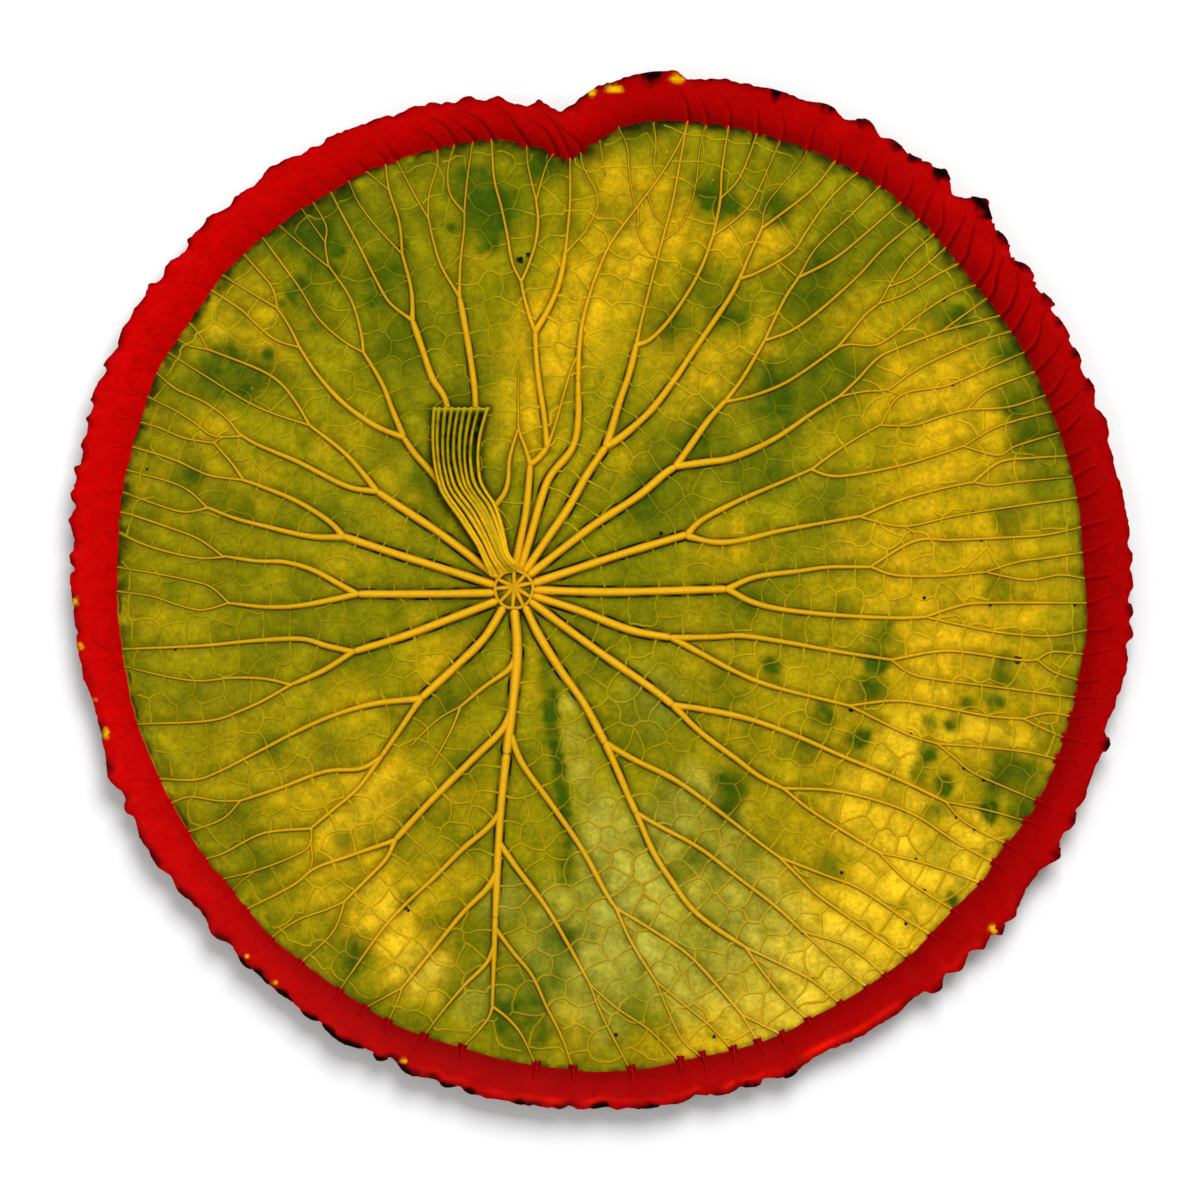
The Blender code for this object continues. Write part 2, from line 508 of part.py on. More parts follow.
def rim_points(plan):
    """Adds the crease and the rows between it and the margin."""
    crease = along(np.vstack([CREASE_LINE, CREASE_LINE[:1]]), RIM_COLUMNS + 1)
    plan.add_line(crease, LEAST_GAP)
    angles, crease_radii = polar(crease[:-1])
    margin_radii = radius_toward(angles, MARGIN_LINE)
    for share in RIM_ROWS:
        radii = crease_radii + (margin_radii - crease_radii) * share
        for angle, radius in zip(angles, radii):
            plan.add(MIDDLE + radius * np.array([math.cos(angle), math.sin(angle)]), LEAST_GAP)


def veined_side():
    """The plan of the veined side: margin, rim, vein crests, vein feet and fill."""
    plan = Plan()
    outline = [plan.add(point) for point in MARGIN_LINE]
    for line, *_ in RIDGES:
        plan.add_line(line, LEAST_GAP)
    for line, first_foot, last_foot, *_ in RIDGES:
        feet = np.linspace(first_foot, last_foot, len(line))
        runs = np.gradient(line, axis=0)
        across = np.column_stack([-runs[:, 1], runs[:, 0]])
        across /= np.hypot(*across.T)[:, None]
        for side in (-1, 1):
            for point in line + across * feet[:, None] * side:
                plan.add(point, LEAST_GAP)
    rim_points(plan)
    fill(plan, FILL_STEP, FILL_STEP * 0.6)
    return plan.triangles(outline)


def down_side():
    """The plan of the side that lies down: margin, crease and an even fill."""
    plan = Plan()
    outline = [plan.add(point) for point in MARGIN_LINE]
    plan.add_line(along(np.vstack([CREASE_LINE, CREASE_LINE[:1]]), DOWN_COLUMNS + 1), LEAST_GAP)
    fill(plan, DOWN_STEP, DOWN_STEP * 0.6)
    return plan.triangles(outline)


def tooth_curl():
    """How far each margin point turns up, from how far it stands out past its neighbours."""
    _, radii = polar(MARGIN_LINE)
    around = sum(np.roll(radii, shift) for shift in range(-3, 4)) / 7
    return TOOTH_CURL * np.clip((radii - around) / (6 * SQUARE), -1.0, 1.0)


def material(name, colour, roughness):
    made = bpy.data.materials.new(name)
    made.use_nodes = True
    shader = made.node_tree.nodes["Principled BSDF"]
    shader.inputs["Base Color"].default_value = colour
    shader.inputs["Roughness"].default_value = roughness
    shader.inputs["Metallic"].default_value = 0.0
    return made


def new_object(name, mesh_builder, materials):
    """An object in the pad's collection from a bmesh, with its faces turned outward."""
    bmesh.ops.recalc_face_normals(mesh_builder, faces=mesh_builder.faces)
    mesh = bpy.data.meshes.new(name)
    mesh_builder.to_mesh(mesh)
    mesh_builder.free()
    for each in materials:
        mesh.materials.append(each)
    mesh.shade_smooth()
    mesh.set_sharp_from_angle(angle=math.radians(35))
    made = bpy.data.objects.new(name, mesh)
    bpy.data.collections[COLLECTION].objects.link(made)
    return made


def make_pad():
    """The blade: a veined side and a down side that share the toothed margin."""
    top_points, top_faces, top_outline = veined_side()
    down_points, down_faces, down_outline = down_side()
    curl = tooth_curl()
    top_heights = blade_top(top_points) + np.array([vein_height(p) for p in top_points])
    top_heights[top_outline] += curl
    down_heights = np.maximum(blade_top(down_points) - BLADE_THICKNESS, 0.0)
    down_heights[down_outline] += curl

    shape = bmesh.new()
    top = [shape.verts.new((*p, z)) for p, z in zip(top_points, top_heights)]
    down = [shape.verts.new((*p, z)) for p, z in zip(down_points, down_heights)]
    for face in top_faces:
        made = shape.faces.new([top[index] for index in face])
        middle = top_points[list(face)].mean(0)
        made.material_index = int(rim_share(middle)[0] > 0.0)
    for face in down_faces:
        made = shape.faces.new([down[index] for index in reversed(face)])
        middle = down_points[list(face)].mean(0)
        made.material_index = int(rim_share(middle)[0] > 0.0)
    count = len(top_outline)
    for index in range(count):
        after = (index + 1) % count
        corners = (top[top_outline[index]], top[top_outline[after]],
                   down[down_outline[after]], down[down_outline[index]])
        made = shape.faces.new(corners)
        made.material_index = 1
    bmesh.ops.triangulate(shape, faces=shape.faces)
    new_object("pad", shape, (material("leaf blade", PAD_COLOUR, 0.5),
                              material("red rim", RIM_COLOUR, 0.55)))


def stalk_section(share, left, right):
    """One cross-section of the flattened stalk: ribs on top, flat below."""
    count = RIB_COUNT * POINTS_PER_RIB + 1
    across = np.linspace(0.0, 1.0, count)
    ground = left + (right - left) * across[:, None]
    near_hub = np.clip((share - 0.7) / 0.2, 0.0, 1.0)
    clearance = STALK_CLEARANCE + (STALK_FOOT_CLEARANCE - STALK_CLEARANCE) * near_hub
    under = blade_top(ground).max() + clearance
    rounding = np.sqrt(np.clip(1 - np.abs(2 * across - 1) ** 5, 0.0, 1.0))
    ribs = RIB_HEIGHT * np.abs(np.sin(math.pi * RIB_COUNT * across))
    body = STALK_EDGE_THICKNESS + (STALK_THICKNESS - STALK_EDGE_THICKNESS) * rounding
    thinning = np.clip((share - 0.8) / 0.2, 0.0, 1.0)
    body = body + (STALK_FOOT_THICKNESS - body) * thinning
    top = [(*point, under + height) for point, height in zip(ground, body + ribs)]
    down = [(*ground[index], under) for index in (count - 1, count // 2, 0)]
    return top + down


def make_stalk():
    """The stalk stub, lofted along its two edges from the cut end to the hub."""
    left = along(placed(STALK_LEFT), STALK_SECTIONS)
    right = along(placed(STALK_RIGHT), STALK_SECTIONS)
    shape = bmesh.new()
    rows = []
    for index in range(STALK_SECTIONS):
        share = index / (STALK_SECTIONS - 1)
        section = stalk_section(share, left[index], right[index])
        rows.append([shape.verts.new(point) for point in section])
    size = len(rows[0])
    for first, second in zip(rows, rows[1:]):
        for index in range(size):
            after = (index + 1) % size
            shape.faces.new((first[index], first[after], second[after], second[index]))
    shape.faces.new(rows[0])
    shape.faces.new(list(reversed(rows[-1])))
    bmesh.ops.triangulate(shape, faces=shape.faces)
    new_object("stalk", shape, (material("leaf stalk", STALK_COLOUR, 0.5),))


def main():
    for old in list(bpy.data.objects):
        bpy.data.objects.remove(old, do_unlink=True)
    collection = bpy.data.collections.new(COLLECTION)
    bpy.context.scene.collection.children.link(collection)
    make_pad()
    make_stalk()


main()
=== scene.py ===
"""The looks of a water lily pad that lies with its veined underside up.

Everything is in metres, with the origin at the hub on the surface that the pad rests on.
The outlines and vein routes are the ones that the solids are made from, with the finer
veins added. They are drawn on squares of a quarter of a millimetre, counted to
the right and down, and place() turns a square into metres.
"""

import functools
import math

import bpy
import numpy as np
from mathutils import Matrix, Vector, kdtree
from mathutils.geometry import delaunay_2d_cdt


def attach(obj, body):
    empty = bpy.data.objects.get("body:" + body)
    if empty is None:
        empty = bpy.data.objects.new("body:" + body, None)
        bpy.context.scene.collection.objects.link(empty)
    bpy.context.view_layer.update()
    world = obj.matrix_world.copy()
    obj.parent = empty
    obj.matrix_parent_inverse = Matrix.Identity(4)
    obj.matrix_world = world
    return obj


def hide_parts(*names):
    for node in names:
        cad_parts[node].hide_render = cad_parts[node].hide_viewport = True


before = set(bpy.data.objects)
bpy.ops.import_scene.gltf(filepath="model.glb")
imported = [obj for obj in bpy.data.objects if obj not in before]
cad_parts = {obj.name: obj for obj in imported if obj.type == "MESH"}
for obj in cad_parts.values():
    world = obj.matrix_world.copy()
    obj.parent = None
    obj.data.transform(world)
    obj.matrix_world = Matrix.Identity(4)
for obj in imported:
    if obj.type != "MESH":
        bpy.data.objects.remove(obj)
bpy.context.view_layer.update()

# The drawing grid
SQUARE = 0.00025
HUB_SQUARE = (514, 587)
LEAF_MIDDLE_SQUARE = (602, 592)
VIEW_MIDDLE_SQUARE = (600, 600)
VIEW_WIDTH_SQUARES = 1200

# The blade's form, as the solids have it, in metres
BLADE_THICKNESS = 0.0012
MARGIN_THICKNESS = 0.0007
FLAT_RADIUS = 0.062
CREASE_RADIUS = 0.121
CREASE_RISE = 0.0040
RIM_RISE = 0.0036
RIM_ROLL = 0.0004
TOOTH_CURL = 0.0010
VEIN_HEIGHT_PER_WIDTH = 0.55

# Where the green blade ends and the red rim begins, in squares, clockwise from the notch
CREASE = (
    (568, 158), (580, 151), (600, 140), (620, 128), (650, 121), (690, 121), (720, 124), (750, 131),
    (780, 139), (810, 149), (835, 160), (858, 172), (880, 185), (900, 201), (920, 219), (940, 240),
    (970, 278), (1000, 315), (1030, 362), (1057, 425), (1072, 475), (1080, 515), (1083, 560),
    (1087, 610), (1086, 640), (1080, 670), (1075, 700), (1065, 735), (1055, 765), (1040, 798),
    (1025, 822), (998, 855), (985, 878), (955, 908), (928, 937), (907, 958), (865, 988),
    (840, 1003), (808, 1020), (780, 1035), (735, 1050), (700, 1057), (650, 1068), (600, 1072),
    (573, 1070), (510, 1061), (462, 1048), (424, 1036), (388, 1021), (340, 990), (302, 962),
    (272, 938), (248, 910), (222, 878), (206, 860), (187, 830), (170, 800), (160, 780), (143, 740),
    (132, 705), (125, 668), (119, 625), (117, 590), (118, 550), (121, 500), (128, 465), (140, 422),
    (157, 372), (178, 338), (203, 303), (223, 275), (243, 255), (262, 238), (300, 210), (330, 192),
    (366, 171), (398, 160), (437, 148), (472, 141), (505, 140), (540, 148), (555, 154),
)

# The toothed margin, in squares, clockwise from the notch: tips and the dips between them
MARGIN = (
    (562, 112), (575, 103), (588, 93), (620, 80), (655, 73), (678, 74), (690, 80), (715, 79),
    (740, 84), (770, 90), (800, 99), (830, 107), (845, 120), (868, 121), (880, 137), (893, 141),
    (912, 157), (928, 163), (935, 171), (945, 170), (950, 182), (955, 196), (985, 200), (988, 212),
    (995, 230), (1005, 238), (1013, 262), (1025, 265), (1034, 275), (1033, 285), (1054, 304),
    (1051, 310), (1068, 333), (1069, 342), (1080, 358), (1081, 370), (1094, 389), (1095, 405),
    (1105, 420), (1110, 450), (1118, 480), (1125, 510), (1129, 530), (1128, 545), (1132, 560),
    (1130, 570), (1133, 585), (1128, 600), (1132, 612), (1128, 622), (1131, 635), (1124, 645),
    (1127, 658), (1118, 695), (1105, 728), (1109, 745), (1098, 758), (1085, 795), (1075, 812),
    (1073, 825), (1060, 838), (1058, 857), (1038, 872), (1020, 900), (1015, 915), (1004, 923),
    (1001, 934), (990, 935), (983, 948), (970, 952), (960, 970), (945, 974), (940, 988), (932, 993),
    (920, 992), (900, 1010), (878, 1025), (859, 1037), (834, 1047), (806, 1062), (790, 1076),
    (766, 1078), (758, 1085), (740, 1086), (726, 1094), (698, 1095), (684, 1102), (646, 1107),
    (620, 1108), (606, 1105), (584, 1109), (570, 1105), (560, 1108), (530, 1104), (500, 1100),
    (470, 1092), (460, 1086), (444, 1086), (436, 1078), (408, 1073), (392, 1058), (378, 1060),
    (370, 1050), (340, 1041), (318, 1020), (308, 1017), (290, 999), (266, 982), (258, 971),
    (246, 967), (232, 945), (216, 936), (200, 910), (180, 892), (172, 876), (158, 864), (140, 834),
    (136, 820), (126, 810), (124, 796), (110, 778), (109, 768), (100, 726), (93, 700), (86, 676),
    (81, 660), (78, 638), (74, 604), (72, 576), (75, 570), (70, 558), (75, 544), (71, 522),
    (76, 508), (72, 496), (78, 484), (76, 468), (82, 464), (84, 452), (82, 444), (89, 428),
    (87, 418), (95, 406), (92, 397), (106, 372), (105, 364), (118, 350), (120, 338), (134, 312),
    (140, 305), (151, 286), (162, 282), (168, 264), (188, 252), (189, 240), (198, 233), (212, 216),
    (230, 208), (237, 197), (252, 188), (273, 168), (292, 159), (317, 147), (344, 132), (376, 121),
    (400, 115), (422, 106), (454, 103), (469, 97), (480, 102), (500, 98), (512, 104), (530, 107),
    (540, 102), (552, 108),
)

# The raised veins: width at the start and at the end, then the route, all in squares.
# They are in order round the hub, each trunk with its forks, clockwise from the notch.
VEINS = (
    # Between the stalk and the notch
    (8, 6, (514, 562), (521, 536), (525, 516), (528, 490), (530, 464)),
    (5, 4, (530, 464), (526, 450), (520, 434), (518, 424)),
    (6, 4, (489, 512), (497, 503), (505, 491), (508, 478), (509, 460), (513, 444), (518, 428)),
    (6, 6, (530, 464), (538, 458), (547, 447)),
    (6, 5, (547, 447), (544, 416), (539, 384), (536, 356), (535, 331)),
    (5, 4, (535, 331), (530, 318), (524, 297), (521, 281)),
    (4, 3, (521, 281), (512, 262), (507, 234), (501, 206), (494, 178), (492, 148)),
    (4, 4, (521, 281), (527, 268), (535, 244), (538, 220), (536, 200)),
    (3, 2, (536, 200), (528, 166), (527, 150)),
    (3, 2, (536, 200), (546, 166), (551, 158)),
    (6, 5, (535, 331), (547, 311), (557, 289), (562, 270), (565, 253)),
    (4, 3, (565, 253), (568, 226), (570, 200), (570, 163)),
    (3, 2, (565, 253), (576, 241), (587, 228), (598, 199), (583, 166), (581, 154)),
    (4, 3, (547, 447), (555, 424), (570, 372), (577, 356)),
    # Trunk toward one o'clock
    (9, 5.5, (522, 563), (531, 534), (540, 502), (550, 476), (572, 448), (578, 420), (578, 380)),
    (5.5, 4, (578, 380), (579, 350), (583, 318), (593, 283)),
    (4, 2.5, (593, 283), (610, 244), (636, 208), (660, 176), (680, 142), (687, 124)),
    (9, 8, (527, 568), (546, 540), (568, 508), (586, 476), (606, 446)),
    (7, 6, (606, 446), (613, 424), (620, 400), (629, 374), (637, 342)),
    (4, 3, (637, 342), (642, 318), (657, 260), (664, 234), (673, 200), (680, 162), (687, 124)),
    (5, 4, (637, 344), (650, 339), (668, 321), (688, 292), (702, 266), (713, 236)),
    (4, 3, (713, 236), (720, 202), (722, 170), (728, 130)),
    (3, 2, (715, 234), (732, 222), (750, 205), (762, 182), (779, 143)),
    (3, 3, (721, 198), (738, 180), (749, 156), (756, 136)),
    (7, 5, (606, 446), (622, 436), (650, 411), (674, 380), (692, 353), (728, 300), (740, 278)),
    (4, 4, (740, 278), (750, 254), (762, 228)),
    (4, 3, (762, 228), (802, 198), (820, 181), (833, 164)),
    (4, 3, (740, 278), (758, 272), (792, 252), (806, 232), (824, 206), (842, 186), (855, 175)),
    # Trunk toward two o'clock
    (9, 8, (531, 573), (566, 546), (598, 522), (638, 496), (664, 474), (676, 466)),
    (7, 5, (676, 466), (690, 446), (710, 418), (727, 399)),
    (5, 4, (727, 399), (744, 376), (765, 340)),
    (4, 4, (765, 340), (784, 300), (799, 277)),
    (3, 3, (799, 277), (813, 252), (830, 234), (852, 214), (878, 188)),
    (4, 3, (799, 277), (832, 260), (858, 240), (899, 204)),
    (4, 3, (765, 340), (792, 330), (820, 310), (858, 276), (884, 248), (917, 221)),
    (4, 4, (727, 401), (754, 395), (790, 380), (838, 347)),
    (4, 3, (838, 347), (850, 333), (866, 314), (880, 302), (890, 284)),
    (3, 3, (890, 284), (906, 260), (932, 236)),
    (3, 3, (880, 303), (905, 294), (935, 276), (958, 264)),
    (3, 3, (838, 347), (850, 344), (874, 345), (892, 336), (918, 316), (950, 295), (973, 286)),
    (7, 4, (676, 466), (704, 462), (734, 457), (774, 439), (814, 412), (840, 396)),
    (4, 3, (840, 396), (858, 379), (878, 358), (900, 347), (942, 331)),
    (3, 3, (942, 331), (982, 302)),
    (3, 3, (942, 331), (998, 316)),
    (3, 3, (840, 396), (866, 391), (888, 389), (908, 375), (930, 362), (976, 342), (1009, 332)),
    # Trunks toward three o'clock
    (9, 8, (534, 583), (582, 567), (628, 552), (688, 534)),
    (6, 4, (688, 534), (702, 520), (740, 500), (782, 482), (812, 469)),
    (4, 3, (812, 469), (838, 450), (862, 435), (882, 424)),
    (3, 3, (882, 424), (901, 395), (948, 385), (988, 368), (1020, 354)),
    (3, 3, (882, 425), (914, 425), (942, 416), (968, 409)),
    (3, 3, (968, 409), (988, 390), (1032, 373)),
    (3, 3, (968, 409), (1008, 407), (1043, 396)),
    (4, 3, (812, 469), (828, 475), (850, 475), (898, 466), (940, 454), (964, 446)),
    (3, 3, (964, 446), (992, 429), (1018, 420), (1050, 412)),
    (3, 3, (964, 446), (998, 455), (1016, 446), (1058, 433)),
    (6, 4, (688, 536), (714, 542), (742, 540), (784, 530), (862, 516)),
    (4, 3, (862, 516), (900, 500), (944, 488), (974, 482)),
    (4, 3, (974, 482), (1000, 462), (1032, 458), (1064, 456)),
    (3, 2, (974, 482), (992, 485), (1018, 482), (1070, 477)),
    (3, 3, (862, 517), (892, 525), (916, 525), (954, 516), (1010, 507), (1075, 498)),
    (9, 8, (535, 590), (600, 592), (660, 591), (728, 589)),
    (6, 4, (728, 589), (756, 577), (800, 571), (830, 567), (872, 567)),
    (4, 3, (872, 566), (915, 541), (952, 540), (996, 538), (1044, 535), (1078, 528)),
    (4, 3, (872, 567), (896, 575), (940, 576), (986, 572)),
    (3, 3, (986, 572), (1018, 562), (1046, 558), (1079, 553)),
    (3, 3, (990, 573), (1028, 580), (1060, 575), (1082, 578)),
    (6, 4, (728, 589), (750, 601), (780, 609), (834, 615), (894, 618), (926, 617)),
    (4, 3, (926, 617), (956, 607), (984, 603), (1083, 603)),
    (3, 3, (930, 618), (966, 626), (1004, 633), (1050, 636), (1083, 631)),
    # Trunk toward four o'clock
    (9, 8, (534, 596), (580, 611), (630, 630), (672, 638)),
    (6, 4, (672, 638), (716, 637), (744, 636), (790, 643), (840, 652), (892, 660)),
    (4, 3, (892, 660), (934, 652), (964, 652), (1018, 660), (1038, 660)),
    (3, 3, (1038, 660), (1052, 652), (1081, 654)),
    (3, 3, (1038, 660), (1054, 672), (1075, 679)),
    (3, 3, (892, 660), (910, 673), (934, 679), (996, 687), (1072, 697)),
    (6, 4, (672, 638), (700, 653), (736, 672), (774, 687), (850, 706)),
    (4, 3, (850, 706), (892, 701), (924, 704), (988, 716), (1024, 719)),
    (3, 3, (1024, 719), (1048, 713), (1068, 716)),
    (3, 3, (1024, 719), (1044, 729), (1060, 736)),
    (4, 3, (850, 706), (884, 723), (912, 736), (938, 744)),
    (3, 3, (938, 744), (980, 747), (1026, 752), (1052, 758)),
    (3, 3, (938, 744), (954, 757), (972, 772), (1000, 785), (1033, 799)),
    # Trunk toward five o'clock, upper
    (9, 8, (530, 601), (570, 631), (606, 657), (648, 686), (674, 706)),
    (6, 4, (674, 706), (700, 709), (748, 719), (796, 736), (844, 757), (900, 780), (946, 802)),
    (3, 3, (946, 802), (986, 810), (1022, 820)),
    (3, 3, (946, 802), (962, 820), (984, 833), (1003, 842)),
    (6, 5, (674, 706), (700, 732), (736, 759), (760, 777), (784, 789)),
    (4, 3, (784, 789), (834, 791), (884, 803), (920, 818), (956, 842), (991, 861)),
    (4, 4, (784, 789), (810, 810), (848, 834), (880, 853)),
    (3, 3, (880, 853), (916, 861), (954, 873), (975, 881)),
    (3, 3, (880, 853), (902, 876), (926, 893), (947, 906)),
    # Trunk toward five o'clock, lower
    (9, 8, (524, 605), (538, 634), (560, 670), (584, 704), (606, 745)),
    (6, 4, (606, 744), (634, 760), (676, 781), (718, 811), (758, 842), (780, 858)),
    (4, 3, (780, 858), (824, 875), (860, 889), (902, 917), (926, 932)),
    (4, 3, (780, 858), (798, 876), (820, 897), (860, 925), (904, 955)),
    (7, 6, (606, 745), (618, 772), (629, 798), (637, 815)),
    (5, 4, (637, 814), (660, 827), (700, 849), (738, 878), (776, 907), (803, 932)),
    (3, 3, (803, 932), (840, 943), (860, 954), (881, 972)),
    (3, 3, (803, 932), (844, 969), (863, 984)),
    (6, 5, (637, 815), (653, 852), (672, 882), (690, 907), (712, 926), (746, 948)),
    (4, 3, (746, 948), (786, 967), (814, 982), (837, 1001)),
    (4, 3, (746, 948), (762, 971), (784, 998), (805, 1017)),
    # Midrib toward six o'clock
    (11, 9, (514, 608), (517, 650), (513, 700), (506, 756)),
    (9, 6, (506, 756), (501, 804), (498, 850), (495, 920)),
    (6, 4, (495, 920), (493, 984), (492, 1008)),
    (4, 3, (492, 1008), (486, 1022), (466, 1044)),
    (4, 3, (494, 1008), (508, 1019), (522, 1036), (533, 1060)),
    (6, 4, (515, 658), (508, 670), (484, 687), (460, 707)),
    (3, 2, (460, 707), (440, 718), (422, 734), (409, 748)),
    (4, 2, (460, 707), (452, 728), (441, 749), (430, 768)),
    (7, 6, (512, 708), (502, 730), (472, 760), (430, 802), (394, 841)),
    (5, 3, (394, 841), (344, 858), (314, 869), (292, 886), (251, 907)),
    (5, 4, (394, 841), (386, 859), (364, 882), (344, 902)),
    (3, 3, (344, 902), (326, 910), (298, 920), (275, 935)),
    (3, 3, (344, 902), (338, 922), (328, 938), (305, 959)),
    (6, 5, (511, 736), (522, 764), (552, 806), (582, 850), (606, 894), (616, 909)),
    (4, 4, (616, 909), (648, 928), (688, 955), (720, 989), (742, 1015)),
    (3, 3, (742, 1015), (776, 1032)),
    (3, 3, (742, 1015), (756, 1039)),
    (4, 4, (616, 909), (632, 944), (656, 982)),
    (3, 3, (656, 982), (688, 1008), (712, 1028), (730, 1047)),
    (3, 3, (656, 982), (672, 1020), (684, 1042), (697, 1053)),
    (6, 3, (500, 812), (488, 828), (462, 850), (434, 878), (406, 904), (382, 930), (352, 972),
     (343, 985)),
    (6, 4, (498, 842), (516, 868), (546, 908), (572, 952), (590, 985)),
    (3, 3, (590, 985), (616, 1008), (650, 1031), (676, 1058)),
    (3, 3, (590, 985), (602, 1016), (626, 1062)),
    (6, 4, (496, 874), (486, 890), (462, 914), (428, 956), (402, 988)),
    (3, 3, (402, 988), (371, 1005)),
    (3, 3, (402, 988), (396, 1005), (390, 1017)),
    (5, 3, (496, 930), (514, 954), (532, 976), (546, 1006), (562, 1038), (571, 1064)),
    (5, 3, (494, 946), (486, 964), (464, 986), (442, 1012), (427, 1032)),
    # Trunk toward seven o'clock
    (9, 8, (504, 606), (484, 638), (456, 666), (420, 699)),
    (6, 3, (420, 699), (374, 704), (332, 716), (296, 732), (248, 757), (216, 773), (194, 780),
     (163, 779)),
    (6, 5, (420, 699), (398, 732), (380, 758)),
    (5, 4, (380, 758), (360, 769), (324, 772), (280, 788), (240, 801)),
    (3, 3, (240, 801), (218, 801), (190, 797), (174, 802)),
    (3, 3, (240, 801), (224, 818), (200, 828), (190, 831)),
    (5, 4, (380, 758), (358, 788), (334, 809), (310, 829)),
    (4, 3, (310, 829), (278, 831), (256, 836), (224, 853), (209, 858)),
    (3, 3, (311, 829), (309, 846), (290, 858), (252, 872), (227, 878)),
    # Trunks toward nine o'clock
    (9, 7, (497, 601), (452, 618), (404, 636), (352, 652)),
    (6, 3, (352, 652), (326, 646), (300, 639), (252, 641), (198, 646), (127, 649)),
    (6, 5, (352, 652), (324, 670), (290, 685)),
    (4, 2, (290, 685), (264, 679), (232, 678), (200, 681), (168, 677), (130, 668)),
    (4, 3, (290, 685), (266, 699), (240, 711), (208, 721), (142, 724)),
    (9, 7, (494, 593), (430, 594), (356, 594)),
    (6, 4, (356, 594), (340, 585), (312, 570), (284, 562), (256, 561), (222, 556)),
    (3, 3, (222, 556), (200, 540), (176, 530), (132, 515), (123, 513)),
    (3, 3, (222, 557), (200, 558), (168, 552), (140, 543), (122, 534)),
    (6, 4, (356, 594), (330, 600), (296, 606), (264, 607), (228, 603)),
    (3, 2, (228, 603), (212, 588), (196, 582), (158, 574), (122, 568)),
    (3, 2, (228, 603), (202, 610), (178, 605), (150, 596), (121, 592)),
    # Trunks toward ten o'clock
    (9, 7, (494, 585), (444, 569), (396, 554), (342, 536)),
    (6, 4, (342, 536), (328, 521), (296, 501), (260, 486), (243, 480)),
    (4, 3, (243, 480), (232, 464), (220, 450), (214, 443)),
    (3, 2, (214, 443), (184, 438), (160, 428), (143, 423)),
    (3, 3, (243, 480), (212, 476), (196, 470), (172, 459), (136, 448)),
    (6, 4, (342, 537), (308, 536), (260, 525), (234, 518), (206, 507)),
    (3, 2, (206, 507), (190, 492), (170, 482), (130, 471)),
    (3, 2, (206, 508), (184, 512), (158, 505), (125, 493)),
    (9, 7, (495, 575), (442, 535), (400, 507), (376, 491)),
    (6, 4, (376, 491), (363, 474), (342, 451), (309, 425)),
    (4, 3, (309, 425), (296, 403), (280, 383), (258, 369), (207, 349)),
    (3, 2, (207, 349), (190, 346), (181, 341)),
    (3, 2, (309, 425), (272, 413), (244, 400), (202, 374), (170, 354)),
    (6, 4, (376, 491), (346, 486), (298, 462), (256, 444), (238, 433)),
    (3, 3, (238, 433), (226, 418), (204, 402), (176, 389), (159, 375)),
    (3, 2, (240, 436), (214, 436), (196, 424), (176, 411), (150, 398)),
    # Trunk toward eleven o'clock, from under the stalk
    (7, 6, (500, 569), (488, 551), (470, 524), (453, 500), (441, 484), (431, 472), (414, 453),
     (403, 437)),
    (6, 4, (403, 437), (374, 425), (342, 402), (316, 373), (299, 347)),
    (3, 3, (299, 347), (276, 340), (256, 324), (240, 309), (214, 292)),
    (4, 3, (299, 347), (290, 328), (277, 308)),
    (3, 3, (277, 308), (272, 288), (256, 268), (246, 257)),
    (3, 2, (277, 308), (250, 292), (227, 278)),
    (6, 4, (403, 436), (392, 410), (381, 382), (363, 352)),
    (3, 3, (363, 352), (342, 340), (318, 318), (298, 286), (265, 241)),
    (4, 3, (363, 352), (360, 330), (350, 298), (328, 265)),
    (3, 2, (328, 265), (325, 244), (326, 226), (315, 206)),
    # Trunks toward the top left, from under the stalk
    (6, 6, (505, 567), (488, 535), (468, 500), (453, 460), (446, 403), (432, 378), (421, 346),
     (412, 320)),
    (4, 3, (412, 320), (390, 303), (376, 280), (360, 248), (344, 218), (332, 195)),
    (5, 4, (412, 320), (411, 290), (402, 254)),
    (3, 2, (402, 254), (376, 226), (358, 202), (350, 184)),
    (4, 3, (402, 254), (399, 222), (389, 190), (386, 168)),
    (6, 6, (509, 566), (492, 530), (476, 490), (472, 450), (475, 403), (471, 364), (464, 322),
     (459, 296)),
    (4, 3, (459, 296), (442, 268), (434, 244), (428, 218)),
    (3, 2, (428, 218), (414, 194), (399, 165)),
    (3, 2, (428, 218), (429, 194), (437, 166), (437, 152)),
    (4, 3, (459, 296), (460, 264), (464, 228), (464, 212)),
    (3, 2, (464, 212), (450, 194), (448, 168), (453, 149)),
    (3, 2, (464, 212), (467, 180), (472, 146)),
)

# The stalk's edges, in squares, from its cut end to the hub
STALK_LEFT = (
    (432, 407), (431, 425), (431, 445), (433, 465), (436, 480), (439, 490), (446, 502),
    (457, 517), (467, 532), (476, 546), (483, 561), (490, 577),
)
STALK_RIGHT = (
    (490, 407), (486, 420), (482, 435), (480, 450), (480, 465), (482, 480), (488, 492),
    (496, 504), (502, 521), (506, 538), (509, 552), (515, 561), (526, 570),
)

